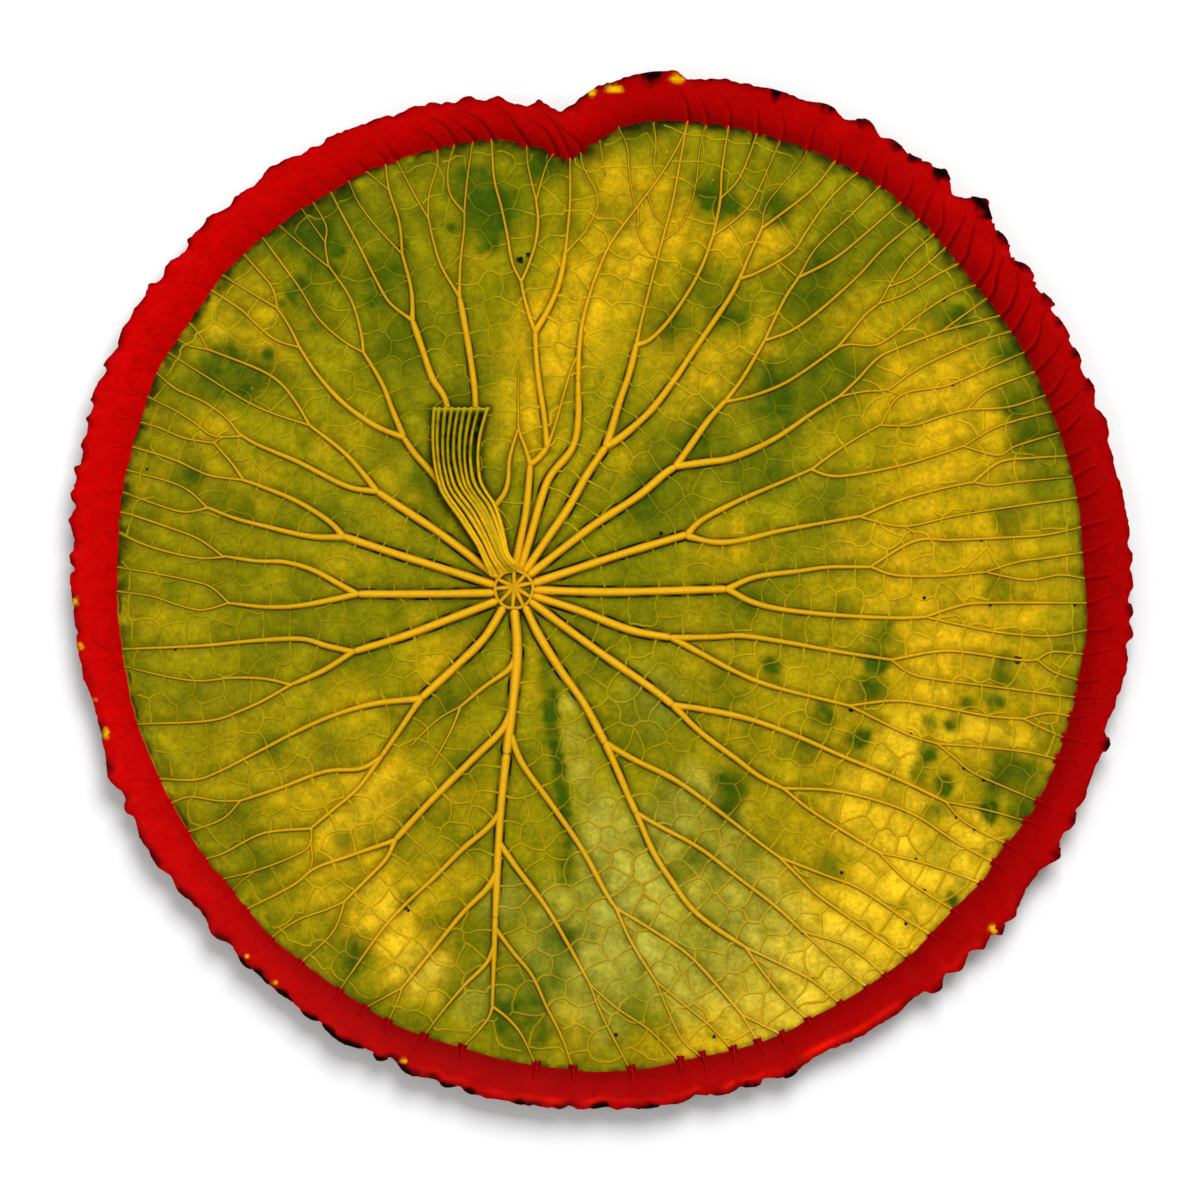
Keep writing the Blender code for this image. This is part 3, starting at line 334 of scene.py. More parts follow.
# Finer veins that only the surface has, in the same form
FINE_VEINS = (
    (2, 1.5, (619, 128), (627, 146), (629, 170), (633, 196), (636, 208)),
    (2, 1.5, (654, 124), (656, 144), (654, 164), (659, 177)),
    (2, 1, (600, 142), (605, 176)),
    (2, 1, (638, 206), (640, 236), (657, 260)),
    (2, 1, (648, 195), (654, 212), (665, 226)),
    (2, 1.5, (663, 240), (676, 230), (688, 212), (696, 184), (700, 148), (706, 126)),
    (2, 1.5, (762, 228), (766, 206), (780, 187), (800, 164), (806, 152)),
    (3, 1, (518, 426), (518, 404), (518, 384), (519, 360)),
    (2, 2, (886, 389), (900, 394), (906, 394)),
    (2, 2, (780, 262), (797, 276)),
    (2, 2, (904, 526), (915, 533), (915, 541)),
    (3, 2, (310, 842), (312, 860), (307, 876)),
    (2, 2, (254, 872), (242, 881), (233, 890)),
    (2, 2, (214, 442), (224, 437), (240, 436)),
    (2, 2, (207, 349), (199, 334), (190, 324)),
    (2, 2, (326, 265), (304, 247), (282, 228)),
    (2, 1.5, (325, 242), (312, 224), (305, 214)),
    (2, 2, (389, 190), (368, 173)),
    (3, 3, (890, 286), (912, 277), (930, 262), (943, 250)),
)

# Surface patches: middle square, reach in squares, strength
YELLOW_PATCHES = (
    (530, 430, 34, 0.7), (545, 380, 40, 0.75), (565, 330, 42, 0.8), (590, 285, 42, 0.9),
    (625, 250, 46, 0.9), (650, 215, 40, 0.75), (720, 236, 34, 0.8), (765, 235, 34, 0.7),
    (612, 180, 34, 0.55), (500, 350, 24, 0.35), (475, 255, 22, 0.3), (236, 320, 46, 0.4),
    (270, 345, 30, 0.3), (260, 485, 26, 0.25), (388, 490, 26, 0.35), (368, 420, 22, 0.3),
    (340, 560, 26, 0.25), (660, 350, 34, 0.4), (700, 380, 40, 0.5), (750, 345, 36, 0.5),
    (870, 320, 40, 0.6), (920, 375, 46, 0.7), (960, 420, 50, 0.75), (975, 370, 30, 0.5),
    (1000, 460, 36, 0.5), (885, 400, 40, 0.35), (840, 450, 34, 0.2), (930, 470, 40, 0.6),
    (880, 545, 40, 0.4), (930, 530, 50, 0.65), (1000, 540, 40, 0.55), (850, 600, 40, 0.3),
    (950, 610, 56, 0.75), (1020, 620, 44, 0.6), (930, 680, 46, 0.85), (975, 740, 40, 0.85),
    (900, 740, 44, 0.95), (1035, 700, 34, 0.6), (1020, 750, 26, 0.7), (870, 790, 50, 0.65),
    (900, 840, 50, 0.9), (960, 870, 50, 1.0), (990, 850, 34, 1.0), (920, 910, 56, 1.0),
    (870, 930, 54, 0.95), (880, 960, 44, 1.0), (820, 950, 46, 0.8), (830, 1000, 44, 0.95),
    (780, 1000, 46, 0.7), (770, 1030, 40, 0.85), (720, 1020, 44, 0.7), (690, 1050, 34, 0.75),
    (650, 1050, 26, 0.5), (780, 700, 60, 0.18), (820, 850, 60, 0.25), (700, 640, 50, 0.15),
    (440, 655, 34, 0.6), (425, 690, 26, 0.45), (350, 700, 26, 0.35), (370, 790, 34, 0.75),
    (350, 830, 36, 0.8), (330, 870, 26, 0.5), (380, 900, 36, 0.95), (400, 935, 36, 0.95),
    (415, 970, 30, 0.85), (360, 930, 30, 0.6), (440, 880, 30, 0.5), (470, 800, 30, 0.4),
    (520, 680, 20, 0.4), (300, 790, 24, 0.4), (150, 620, 26, 0.2), (210, 530, 90, 0.08),
    (190, 640, 90, 0.05), (170, 450, 60, 0.18), (330, 850, 110, 0.26), (250, 770, 90, 0.18),
    (400, 760, 70, 0.2), (560, 480, 30, 0.2), (620, 450, 30, 0.25), (210, 430, 26, 0.35),
    (330, 440, 26, 0.35), (730, 545, 34, 0.4), (1060, 560, 24, 0.4), (560, 1020, 26, 0.35),
    (590, 1040, 22, 0.4), (540, 640, 22, 0.3), (820, 920, 120, 0.3), (740, 740, 110, 0.12),
    (900, 720, 100, 0.3), (930, 880, 70, 0.6), (860, 980, 60, 0.5), (930, 480, 90, 0.15),
    (640, 260, 90, 0.25), (960, 600, 90, 0.25),
)
GREEN_PATCHES = (
    (493, 205, 26, 0.95), (486, 235, 18, 0.9), (470, 180, 26, 0.7), (548, 165, 20, 0.7),
    (617, 214, 22, 0.5), (708, 195, 24, 0.8), (728, 205, 14, 0.9), (774, 208, 18, 0.9),
    (733, 313, 24, 0.8), (672, 324, 24, 0.7), (817, 267, 28, 0.8), (800, 300, 24, 0.5),
    (700, 285, 24, 0.5), (955, 319, 20, 0.9), (880, 250, 26, 0.5), (840, 230, 20, 0.5),
    (780, 390, 40, 0.7), (840, 370, 34, 0.5), (700, 440, 36, 0.6), (660, 500, 34, 0.5),
    (760, 470, 34, 0.5), (830, 500, 30, 0.5), (1010, 520, 18, 0.6), (1000, 590, 16, 0.7),
    (1010, 400, 20, 0.7), (1030, 440, 22, 0.7), (1045, 480, 18, 0.6), (1010, 350, 16, 0.7),
    (240, 372, 34, 0.8), (200, 390, 24, 0.5), (320, 250, 30, 0.7), (350, 220, 24, 0.6),
    (280, 240, 20, 0.6), (390, 280, 26, 0.6), (300, 300, 22, 0.6), (400, 350, 34, 0.6),
    (430, 470, 26, 0.5), (470, 480, 26, 0.5), (243, 512, 12, 0.6), (186, 474, 15, 0.6),
    (177, 588, 13, 0.5), (215, 500, 12, 0.4), (330, 520, 24, 0.5), (450, 420, 34, 0.5),
    (880, 635, 14, 0.9), (878, 662, 14, 0.9), (872, 690, 15, 0.9), (858, 738, 13, 0.95),
    (822, 719, 14, 0.8), (810, 750, 16, 0.6), (774, 666, 10, 0.8), (730, 690, 20, 0.5),
    (933, 726, 10, 0.8), (955, 724, 9, 0.8), (969, 705, 8, 1.0), (997, 702, 9, 1.0),
    (1003, 676, 11, 0.8), (1006, 660, 9, 0.8), (930, 755, 12, 0.9), (944, 785, 10, 1.0),
    (933, 811, 9, 1.0), (920, 775, 12, 0.6), (1008, 770, 16, 0.9), (1000, 785, 12, 0.8),
    (1025, 775, 12, 0.8), (989, 812, 12, 1.0), (1019, 812, 12, 1.0), (992, 795, 9, 0.7),
    (828, 866, 14, 0.7), (730, 785, 20, 0.9), (728, 810, 16, 0.7), (745, 850, 20, 0.4),
    (953, 899, 8, 1.0), (940, 850, 20, 0.4), (546, 662, 8, 0.8), (547, 675, 9, 0.9),
    (548, 689, 9, 1.0), (549, 703, 9, 1.0), (551, 717, 9, 1.0), (553, 731, 8, 1.0),
    (555, 745, 8, 1.0), (557, 759, 8, 1.0), (559, 773, 9, 1.0), (560, 787, 9, 1.0),
    (562, 801, 8, 1.0), (563, 815, 8, 1.0), (565, 829, 8, 0.9), (566, 845, 8, 0.9),
    (567, 862, 10, 0.8), (568, 880, 10, 0.6), (450, 700, 18, 0.7), (420, 710, 14, 0.6),
    (325, 745, 16, 0.35), (270, 745, 18, 0.5), (405, 900, 13, 0.6), (345, 845, 9, 0.6),
    (240, 700, 20, 0.3), (190, 700, 20, 0.4), (250, 860, 26, 0.5), (230, 820, 24, 0.5),
    (350, 960, 26, 0.6), (460, 770, 24, 0.5), (460, 850, 20, 0.4), (560, 940, 24, 0.7),
    (540, 980, 28, 0.8), (500, 1010, 24, 0.5), (530, 1020, 30, 0.7), (700, 860, 16, 0.5),
    (720, 920, 16, 0.22), (690, 940, 18, 0.2), (660, 700, 34, 0.3), (600, 660, 30, 0.35),
    (640, 560, 30, 0.3), (750, 600, 24, 0.5), (840, 610, 18, 0.4), (343, 190, 8, 0.9),
    (353, 199, 7, 0.9), (394, 219, 7, 0.7), (418, 214, 6, 0.7), (289, 295, 7, 0.9),
    (299, 285, 8, 0.9), (339, 252, 7, 0.8), (335, 268, 7, 0.7), (314, 324, 6, 0.7),
    (267, 352, 7, 0.7), (403, 247, 6, 0.7), (280, 303, 5, 0.8), (262, 232, 8, 0.7),
    (300, 222, 7, 0.7), (484, 214, 9, 0.9), (500, 222, 8, 0.8), (452, 226, 6, 0.6),
    (310, 372, 7, 0.5), (243, 388, 8, 0.5), (370, 300, 6, 0.5),
)
PALE_PATCHES = (
    (595, 815, 26, 0.45), (608, 850, 30, 0.6), (625, 885, 34, 0.65), (640, 915, 34, 0.6),
    (610, 900, 30, 0.6), (625, 955, 34, 0.6), (590, 960, 30, 0.5), (560, 910, 24, 0.5),
    (505, 905, 20, 0.45), (545, 960, 26, 0.5), (600, 1010, 30, 0.5), (660, 965, 32, 0.45),
    (690, 1000, 34, 0.4), (655, 835, 30, 0.4), (690, 800, 30, 0.45), (740, 880, 36, 0.3),
    (780, 920, 40, 0.4), (655, 700, 26, 0.3), (480, 1000, 26, 0.35), (420, 970, 22, 0.4),
    (800, 985, 38, 0.3), (770, 1012, 36, 0.3), (840, 960, 34, 0.2), (715, 985, 36, 0.4),
    (760, 975, 36, 0.35), (690, 900, 36, 0.35), (725, 850, 34, 0.3), (550, 1000, 26, 0.35),
    (740, 940, 36, 0.45), (572, 700, 13, 0.3), (577, 735, 14, 0.3), (581, 770, 15, 0.35),
)

# Black pits: square and radius in squares
PITS = (
    (412, 317, 2.6), (520, 259, 3.2), (528, 254, 2.0), (675, 380, 1.6), (680, 469, 2.2),
    (661, 533, 2.0), (944, 299, 2.0), (953, 384, 1.6), (974, 512, 1.4), (982, 540, 1.4),
    (986, 572, 1.6), (925, 598, 1.6), (991, 605, 1.4), (1075, 604, 2.0), (1018, 660, 3.4),
    (980, 685, 1.6), (911, 735, 1.8), (965, 768, 1.8), (984, 780, 1.6), (905, 811, 1.6),
    (957, 817, 1.6), (975, 829, 1.6), (916, 860, 1.6), (924, 891, 1.8), (803, 933, 1.6),
    (348, 649, 2.0), (175, 649, 1.4), (147, 469, 1.2), (405, 908, 1.8), (408, 911, 1.3),
    (852, 710, 2.2), (673, 707, 2.0), (683, 638, 1.8), (708, 638, 1.4), (611, 746, 1.8),
    (842, 873, 1.6), (906, 924, 1.4), (714, 1037, 1.6), (616, 1035, 1.6),
)

# Yellow specks on the rim and dark curls on the margin: square, reach across and up
RIM_SPECKS = (
    (592, 93, 3.5, 3.5), (615, 90, 7, 3), (677, 80, 6, 3), (76, 602, 1.8, 3.6), (81, 647, 1.4, 3.2),
    (87, 671, 1.3, 1.8), (95, 700, 1.3, 1.8), (107, 733, 1.9, 4.6), (248, 956, 2.0, 1.5),
    (275, 983, 1.7, 1.3), (404, 1061, 2.4, 2.4), (993, 928, 3.5, 3.5),
)
DARK_CURLS = (
    (652, 79, 12, 4), (778, 96, 9, 5), (828, 110, 8, 4), (862, 124, 7, 3), (895, 145, 7, 4),
    (913, 160, 7, 4), (940, 175, 9, 7), (979, 211, 12, 10), (1000, 239, 6, 7), (1020, 268, 7, 6),
    (1043, 300, 4, 5), (1058, 322, 3, 5), (1076, 352, 3, 5), (1088, 384, 3, 5), (1128, 610, 3, 6),
    (1108, 745, 3, 7), (1074, 818, 3, 6), (1056, 852, 3, 5), (1003, 930, 4, 4), (935, 987, 5, 4),
    (790, 1072, 7, 4), (750, 1083, 8, 4), (650, 1104, 9, 4), (600, 1104, 9, 4), (520, 1098, 8, 3),
    (470, 1090, 7, 3), (448, 1083, 6, 4), (405, 1068, 6, 5), (380, 1057, 5, 4), (350, 1041, 11, 7),
    (332, 1032, 8, 7), (310, 1015, 8, 4), (286, 993, 8, 5), (262, 975, 8, 5), (245, 963, 6, 5),
)

# Fineness of the meshes, in metres
TOP_STEP = 0.00087
RIM_STEP = 0.00084
DOWN_STEP = 0.0030
GRID_REACH = 0.165
OUTLINE_STEP = 0.00050
CREASE_STEP = 0.00080
CREASE_RINGS = (-0.0013, -0.00055, 0.00070)
VEIN_STEP = 0.0010
NET_STEP = 0.0013
STALK_STEP = 0.0005

# How veins leave the hub's ring, fork, and reach the crease
HUB_CLEAR = 0.0066
FORK_OVERLAP = 0.0006
FORK_REACH = 0.0010
FORK_EASE = 0.0022
NEAR_CREASE = 0.0030
CREASE_OVERRUN = 0.0002
VEIN_SUNK = -0.00030

# The veins' run across the rim
ARC_GAP = 0.020
THICK_TIP = 0.0008
ARC_DRAWN = 20
ARC_STATIONS = 22

# The fine network and the domes between it
CELL_SIZE = 0.0058
CELL_FROM_VEIN = 0.0026
CELL_SHIFT = 0.0005
CELL_TRIES = 16000
SHORTEST_WALL = 0.0006
LONGEST_WALL = 0.014
WALL_FROM_VEIN = 0.0007
WALL_FROM_CREASE = 0.0021
NET_WIDTH = 0.00052
NET_HEIGHT = 0.00026
NET_WOBBLE = 0.0006
NET_SUNK = -0.00034
LIT_FROM = (-0.5, 0.85)
DOME_HEIGHT = 0.00026
DOME_REACH = 0.0015

# The level of the ground plan below which the blade's yellow is at its brightest
BRIGHT_BELOW = -0.010

# The rim, the margin and the pits, with curls drawn longer left of a square
RIM_LIFT = 0.0002
PIT_LEVEL = 0.00020
PIT_CORNERS = 10
JAGGED_DEGREES = 140
LONG_CURLS_LEFT_OF = 470

# The hub
RING_RADIUS = 0.00475
RING_MIDDLE = np.array([-0.0001, -0.0006])
RING_WIDTH = 0.00095
RING_HEIGHT = 0.00115
SPOKE_DEGREES = (20, 52, 90, 148, 178, 222, 266, 300, 335)
SPOKE_WIDTH = 0.00115
SPOKE_HEIGHT = 0.00105

# The stalk
STALK_CLEARANCE = 0.00125
STALK_FOOT_CLEARANCE = 0.0016
STALK_THICKNESS = 0.0021
STALK_EDGE_THICKNESS = 0.0012
STALK_FOOT_THICKNESS = 0.0009
STALK_SECTIONS = 140
STALK_SINK = 0.0013
RIB_HEIGHT = 0.00065
RIBS_AT_CUT = np.array([0.035, 0.12, 0.225, 0.335, 0.455, 0.565, 0.675, 0.80, 0.96])
RIBS_AT_FOOT = np.array([0.05, 0.155, 0.33, 0.455, 0.60, 0.68, 0.74, 0.86, 0.955])
RIB_REACH_AT_CUT = 0.037
RIB_REACH_AT_FOOT = 0.076
POINTS_PER_RIB = 10

# The view and the light
SPECULAR_LEVEL = 0.02
CAMERA_HEIGHT = 1.8
CAMERA_LEVEL = 0.006
SENSOR_WIDTH = 36.0
FLOOR_SIZE = 6.0
KEY_POWER = 20.5
FILL_POWER = 4.6
WORLD_STRENGTH = 0.42


def linear(red, green, blue):
    """A colour of the screen, 0 to 255 a channel, as linear light."""
    share = np.array([red, green, blue]) / 255.0
    return np.where(share <= 0.04045, share / 12.92, ((share + 0.055) / 1.055) ** 2.4)


OLIVE = linear(118, 115, 2)
OLIVE_LIGHT = linear(150, 138, 4)
YELLOW = linear(208, 164, 8)
YELLOW_BRIGHT = linear(246, 204, 34)
GREEN = linear(58, 82, 2)
PALE = linear(198, 188, 68)
EDGE_SHADE = linear(44, 46, 0)
SMUDGE = linear(70, 84, 2)
FLECK = linear(214, 180, 50)
RED = linear(194, 0, 0)
RED_TOP = linear(172, 0, 0)
RED_DEEP = linear(131, 0, 0)
RED_BRIGHT = linear(236, 18, 0)
CURL_SHADE = linear(16, 0, 0)
TIP_SHADE = linear(92, 0, 0)
SPECK = linear(236, 182, 4)
CREASE_SHADE_BAND = linear(48, 6, 0)
CREASE_EDGE = linear(150, 130, 6)
VEIN_GOLD = linear(230, 172, 22)
VEIN_SHADED = linear(194, 144, 10)
FOOT_SHADE = linear(20, 26, 0)
NET_GOLD = linear(186, 158, 8)
NET_PALE = linear(176, 134, 6)
DOWN_GREEN = linear(74, 88, 22)
DOWN_RED = linear(112, 16, 12)
STALK_GOLD = linear(232, 180, 20)
STALK_OLIVE = linear(154, 138, 8)
STALK_GAP_SHADE = linear(8, 14, 0)
PIT_BLACK = linear(8, 8, 0)
PIT_WALL = linear(14, 12, 0)
PIT_LIP = linear(60, 52, 2)
PIT_EDGE = linear(80, 72, 4)


def place(square):
    """The point on the ground plan, in metres, that a square of the drawing stands for."""
    return ((square[0] - HUB_SQUARE[0]) * SQUARE, (HUB_SQUARE[1] - square[1]) * SQUARE)


def placed(squares):
    """The points that several squares stand for."""
    return np.array([place(square) for square in squares])


MIDDLE = np.array(place(LEAF_MIDDLE_SQUARE))
MARGIN_LINE = placed(MARGIN)


def unit(values):
    """The values, cut off at 0 and 1."""
    return np.clip(values, 0.0, 1.0)


def bell(distance, reach):
    """1 where the distance is 0, and close to 0 from twice the reach on."""
    return np.exp(-(distance / reach) ** 2)


def facing(angles, degrees, gain, loss):
    """Up to 1 toward a direction from the leaf's middle, and 0 well away from it."""
    return unit(gain * np.cos(angles - math.radians(degrees)) - loss)


def length_of(line):
    """The length of a line of points."""
    return float(np.hypot(*np.diff(np.asarray(line, float), axis=0).T).sum())


def along(line, count):
    """A given number of points, evenly spaced by length along a line, both ends included."""
    line = np.asarray(line, float)
    lengths = np.hypot(*np.diff(line, axis=0).T)
    travelled = np.concatenate(([0.0], np.cumsum(lengths)))
    wanted = np.linspace(0.0, travelled[-1], count)
    return np.column_stack([np.interp(wanted, travelled, line[:, axis]) for axis in (0, 1)])


def smooth_line(points, step, closed=False):
    """Points about a step apart on a smooth curve through the given ones."""
    knots = np.asarray(points, float)
    if closed:
        guides = np.vstack([knots[-1:], knots, knots[:2]])
    else:
        guides = np.vstack([2 * knots[0] - knots[1], knots, 2 * knots[-1] - knots[-2]])
    spans = len(guides) - 3
    t = np.linspace(0.0, 1.0, 10, endpoint=False)[:, None]
    pieces = []
    for span in range(spans):
        a, b, c, d = guides[span:span + 4]
        pieces.append(0.5 * (2 * b + (c - a) * t + (2 * a - 5 * b + 4 * c - d) * t ** 2
                             + (3 * b - a - 3 * c + d) * t ** 3))
    dense = np.vstack(pieces + [guides[spans + 1:spans + 2]])
    line = along(dense, max(3, int(math.ceil(length_of(dense) / step)) + 1))
    return line[:-1] if closed else line


def normals(line):
    """The direction across a line, to its left, at each of its points."""
    runs = np.gradient(line, axis=0)
    across = np.column_stack([-runs[:, 1], runs[:, 0]])
    return across / np.maximum(np.hypot(*across.T), 1e-9)[:, None]


def polar(points):
    """The direction and the distance of each point from the leaf's middle."""
    away = np.atleast_2d(points) - MIDDLE
    return np.arctan2(away[:, 1], away[:, 0]), np.hypot(away[:, 0], away[:, 1])


def from_polar(angles, radii):
    """The points in given directions and at given distances from the leaf's middle."""
    return MIDDLE + np.column_stack([radii * np.cos(angles), radii * np.sin(angles)])


def radius_toward(angles, line):
    """How far a closed outline lies from the leaf's middle in each direction."""
    line_angles, line_radii = polar(line)
    order = np.argsort(line_angles)
    return np.interp(angles, line_angles[order], line_radii[order], period=2 * math.pi)


@functools.cache
def noise_lattice(seed):
    """The random values that the noise of one seed runs between."""
    return np.random.default_rng(seed).uniform(-1.0, 1.0, (512, 512))


def soft_noise(points, size, seed):
    """Smooth noise from -1 to 1 with features of about the given size."""
    spread = np.atleast_2d(points) / size + 500.0
    base = np.floor(spread).astype(int)
    part = spread - base
    part = part * part * (3 - 2 * part)
    lattice = noise_lattice(seed)
    x, y = base[:, 0] % 511, base[:, 1] % 511
    low = lattice[x, y] * (1 - part[:, 0]) + lattice[x + 1, y] * part[:, 0]
    high = lattice[x, y + 1] * (1 - part[:, 0]) + lattice[x + 1, y + 1] * part[:, 0]
    return low * (1 - part[:, 1]) + high * part[:, 1]


def rough_noise(points, size, seed, layers=3):
    """Noise with finer and finer layers."""
    total = np.zeros(len(points))
    for layer in range(layers):
        total += soft_noise(points, size / 2 ** layer, seed + layer) / 2 ** layer
    return total / 1.5


def ragged_crease():
    """The crease between blade and rim, with its small ragged steps, most at the upper left."""
    line = smooth_line(placed(CREASE), CREASE_STEP, closed=True)
    turn, radii = polar(line)
    steps = 0.4 + facing(turn, JAGGED_DEGREES, 1.5, 0.3)
    return from_polar(turn, radii + 0.00024 * steps * rough_noise(line, 0.0017, 193))


CREASE_LINE = ragged_crease()


def inside_crease(points):
    """How far each point lies inside the crease, or outside it where negative."""
    angles, radii = polar(points)
    return radius_toward(angles, CREASE_LINE) - radii


def rim_share(points):
    """0 at the crease and inside it, 1 at the margin."""
    angles, radii = polar(points)
    crease = radius_toward(angles, CREASE_LINE)
    return unit((radii - crease) / (radius_toward(angles, MARGIN_LINE) - crease))


def blade_top(points):
    """The height of the blade's veined side without its veins."""
    out = unit((polar(points)[1] - FLAT_RADIUS) / (CREASE_RADIUS - FLAT_RADIUS))
    share = rim_share(points)
    dish = CREASE_RISE * out * out * (3 - 2 * out)
    return BLADE_THICKNESS + dish + RIM_RISE * share + RIM_ROLL * np.sin(math.pi * share)


def tooth_curl(points):
    """How far the margin turns up: its tips more than the dips between them."""
    angles, radii = polar(MARGIN_LINE)
    around = sum(np.roll(radii, shift) for shift in range(-3, 4)) / 7
    curl = TOOTH_CURL * np.clip((radii - around) / (6 * SQUARE), -1.0, 1.0)
    order = np.argsort(angles)
    at = np.interp(polar(points)[0], angles[order], curl[order], period=2 * math.pi)
    return at * rim_share(points) ** 3


def rim_relief(points):
    """The rim's crinkles and the turn of its teeth."""
    share = rim_share(points)
    crinkle = 0.00034 * rough_noise(points, 0.0045, 101) * share
    crinkle += 0.00030 * rough_noise(points, 0.0018, 111) * share ** 2
    return crinkle + tooth_curl(points)


def tree_of(points):
    """A search tree over ground plan points."""
    tree = kdtree.KDTree(len(points))
    for index, point in enumerate(points):
        tree.insert((point[0], point[1], 0.0), index)
    tree.balance()
    return tree


def nearest(tree, points):
    """The index of the nearest of a tree's points, and its distance, for each point."""
    found = [tree.find((point[0], point[1], 0.0)) for point in points]
    return np.array([each[1] for each in found]), np.array([each[2] for each in found])


def blend(first, second, share):
    """Colours between two others, each a single colour or one a point."""
    share = np.asarray(unit(share))[..., None]
    return first * (1 - share) + second * share


def patches(points, table, crispness=2.6):
    """How far inside a table's soft round patches each point is, with ragged edges."""
    sway = np.column_stack([rough_noise(points, 0.009, 11), rough_noise(points, 0.009, 21)])
    sway += 0.6 * np.column_stack([rough_noise(points, 0.003, 13), rough_noise(points, 0.003, 23)])
    outside = np.ones(len(points))
    for x, y, reach, strength in table:
        reach = reach * SQUARE
        gap = np.hypot(*(points + sway * reach * 0.42 - place((x, y))).T)
        outside *= 1 - strength * np.exp(-(gap / reach) ** crispness)
    return 1 - outside


def spots(points, table, ragged):
    """How far inside a table's small oval marks each point is, 0 to 1."""
    bent = points + ragged * np.column_stack([
        rough_noise(points, 0.0025, 71), rough_noise(points, 0.0025, 81)])
    best = np.zeros(len(points))
    for x, y, wide, tall in table:
        away = (bent - place((x, y))) / (np.array([wide, tall]) * SQUARE)
        best = np.maximum(best, unit(1.45 - np.hypot(*away.T)))
    return best


def ground_colour(points, tone=0.0):
    """The blade's mottled olive, yellow, green and pale ground, each cell in its own tone."""
    yellow = patches(points, YELLOW_PATCHES)
    green = patches(points, GREEN_PATCHES, 3.4)
    pale = patches(points, PALE_PATCHES)
    broad = rough_noise(points * (1.5, 0.8), 0.015, 121)
    fine = rough_noise(points, 0.0040, 131)
    ground = blend(OLIVE, OLIVE_LIGHT, 0.42 + 0.6 * broad + 0.40 * fine + 0.25 * tone)
    ground = blend(ground, YELLOW, 1.1 * yellow * (0.9 + 0.5 * fine + 0.18 * tone))
    bright = unit(yellow * 2.6 - 1.7) * np.clip((BRIGHT_BELOW - points[:, 1]) / 0.03, 0.3, 1)
    ground = blend(ground, YELLOW_BRIGHT, bright * (0.6 + 0.5 * fine + 0.15 * tone))
    ground = blend(ground, PALE, pale * (0.80 + 0.5 * fine + 0.20 * tone))
    darker = 0.30 * unit(-broad - 0.15)
    ground = blend(ground, GREEN, green * (1.1 + 0.7 * fine) + darker * (1 - yellow))
    grit = soft_noise(points, 0.0011, 135)
    clouds = rough_noise(points, 0.0065, 137)
    return ground * (1 + 0.05 * tone + 0.08 * grit + 0.14 * clouds)[:, None]


def lamina_colour(points, tone, dome, edge_gap, widths):
    """The ground with its shading beside the veins, between them and along the crease."""
    ground = ground_colour(points, tone)
    angles, _ = polar(points)
    turn = np.degrees(angles)
    to_crease = np.maximum(inside_crease(points), 0.0)

    # Painted shade: a soft dark band inside the crease, in blots at the upper left
    shaded = 0.28 + 0.7 * facing(angles, 120, 1.0, -0.25)
    shaded = np.maximum(shaded, 0.9 * bell(turn - 45, 28))
    blots = unit(0.55 + 1.2 * rough_noise(points, 0.0036, 143))
    ground = blend(ground, EDGE_SHADE * 0.8, bell(to_crease, 0.0042) * shaded * blots)
    crease_shade_blots = unit(0.25 + 1.6 * rough_noise(points, 0.0024, 147))
    crease_shade_blots = bell(to_crease, 0.0019) * facing(angles, 125, 1.5, 0.4) * crease_shade_blots
    ground = blend(ground, EDGE_SHADE * 0.35, crease_shade_blots)

    # Painted shade: a dark ragged line along the crease, apart from the left, where it is a thin
    # brown band
    left = facing(angles, 180, 1.5, 0.35)
    low_left = left * (np.abs(turn % 360 - 196) < 16)
    ragged = 0.9 + 0.8 * soft_noise(points, 0.0016, 141)
    # How deep the painted shade at the crease is, most toward the upper right
    deep_shade = facing(angles, 62, 1.6, 0.5)
    line = bell(to_crease, 0.0007 + 0.0007 * deep_shade) * (ragged + 0.3 * deep_shade)
    ground = blend(ground, EDGE_SHADE * 0.4, line * np.maximum(shaded, 0.6) * (1 - left))
    away_from_tips = unit((edge_gap - 0.0002) / 0.0008)
    breaks = unit(0.75 + 0.9 * soft_noise(points, 0.0026, 145))
    band = bell(to_crease - 0.0005, 0.0005) * low_left * away_from_tips
    ground = blend(ground, CREASE_SHADE_BAND, band * breaks)
    ground = blend(ground, CREASE_EDGE, bell(to_crease, 0.0003) * low_left * 0.3)
    edge = bell(to_crease, 0.0006) * unit(left - low_left)
    ground = blend(ground, EDGE_SHADE * 0.3, edge * breaks)

    # Painted shade: dark lines beside the stalk and the veins
    stalk_edge = np.vstack([smooth_line(placed(STALK_LEFT), STALK_STEP),
                            smooth_line(placed(STALK_RIGHT), STALK_STEP),
                            along(placed([STALK_LEFT[0], STALK_RIGHT[0]]), 30)])
    to_stalk = nearest(tree_of(stalk_edge), points)[1]
    ground = blend(ground, FOOT_SHADE, 0.85 * bell(to_stalk, 0.0010))
    thick = np.clip(widths / SQUARE / 8.0, 0.1, 1.0)
    ground = blend(ground, GREEN * 0.68, 0.62 * thick * bell(edge_gap, 0.0013))
    # Painted light: the middles of the domed cells a little lighter than their edges
    return ground * (0.93 + 0.10 * dome)[:, None]


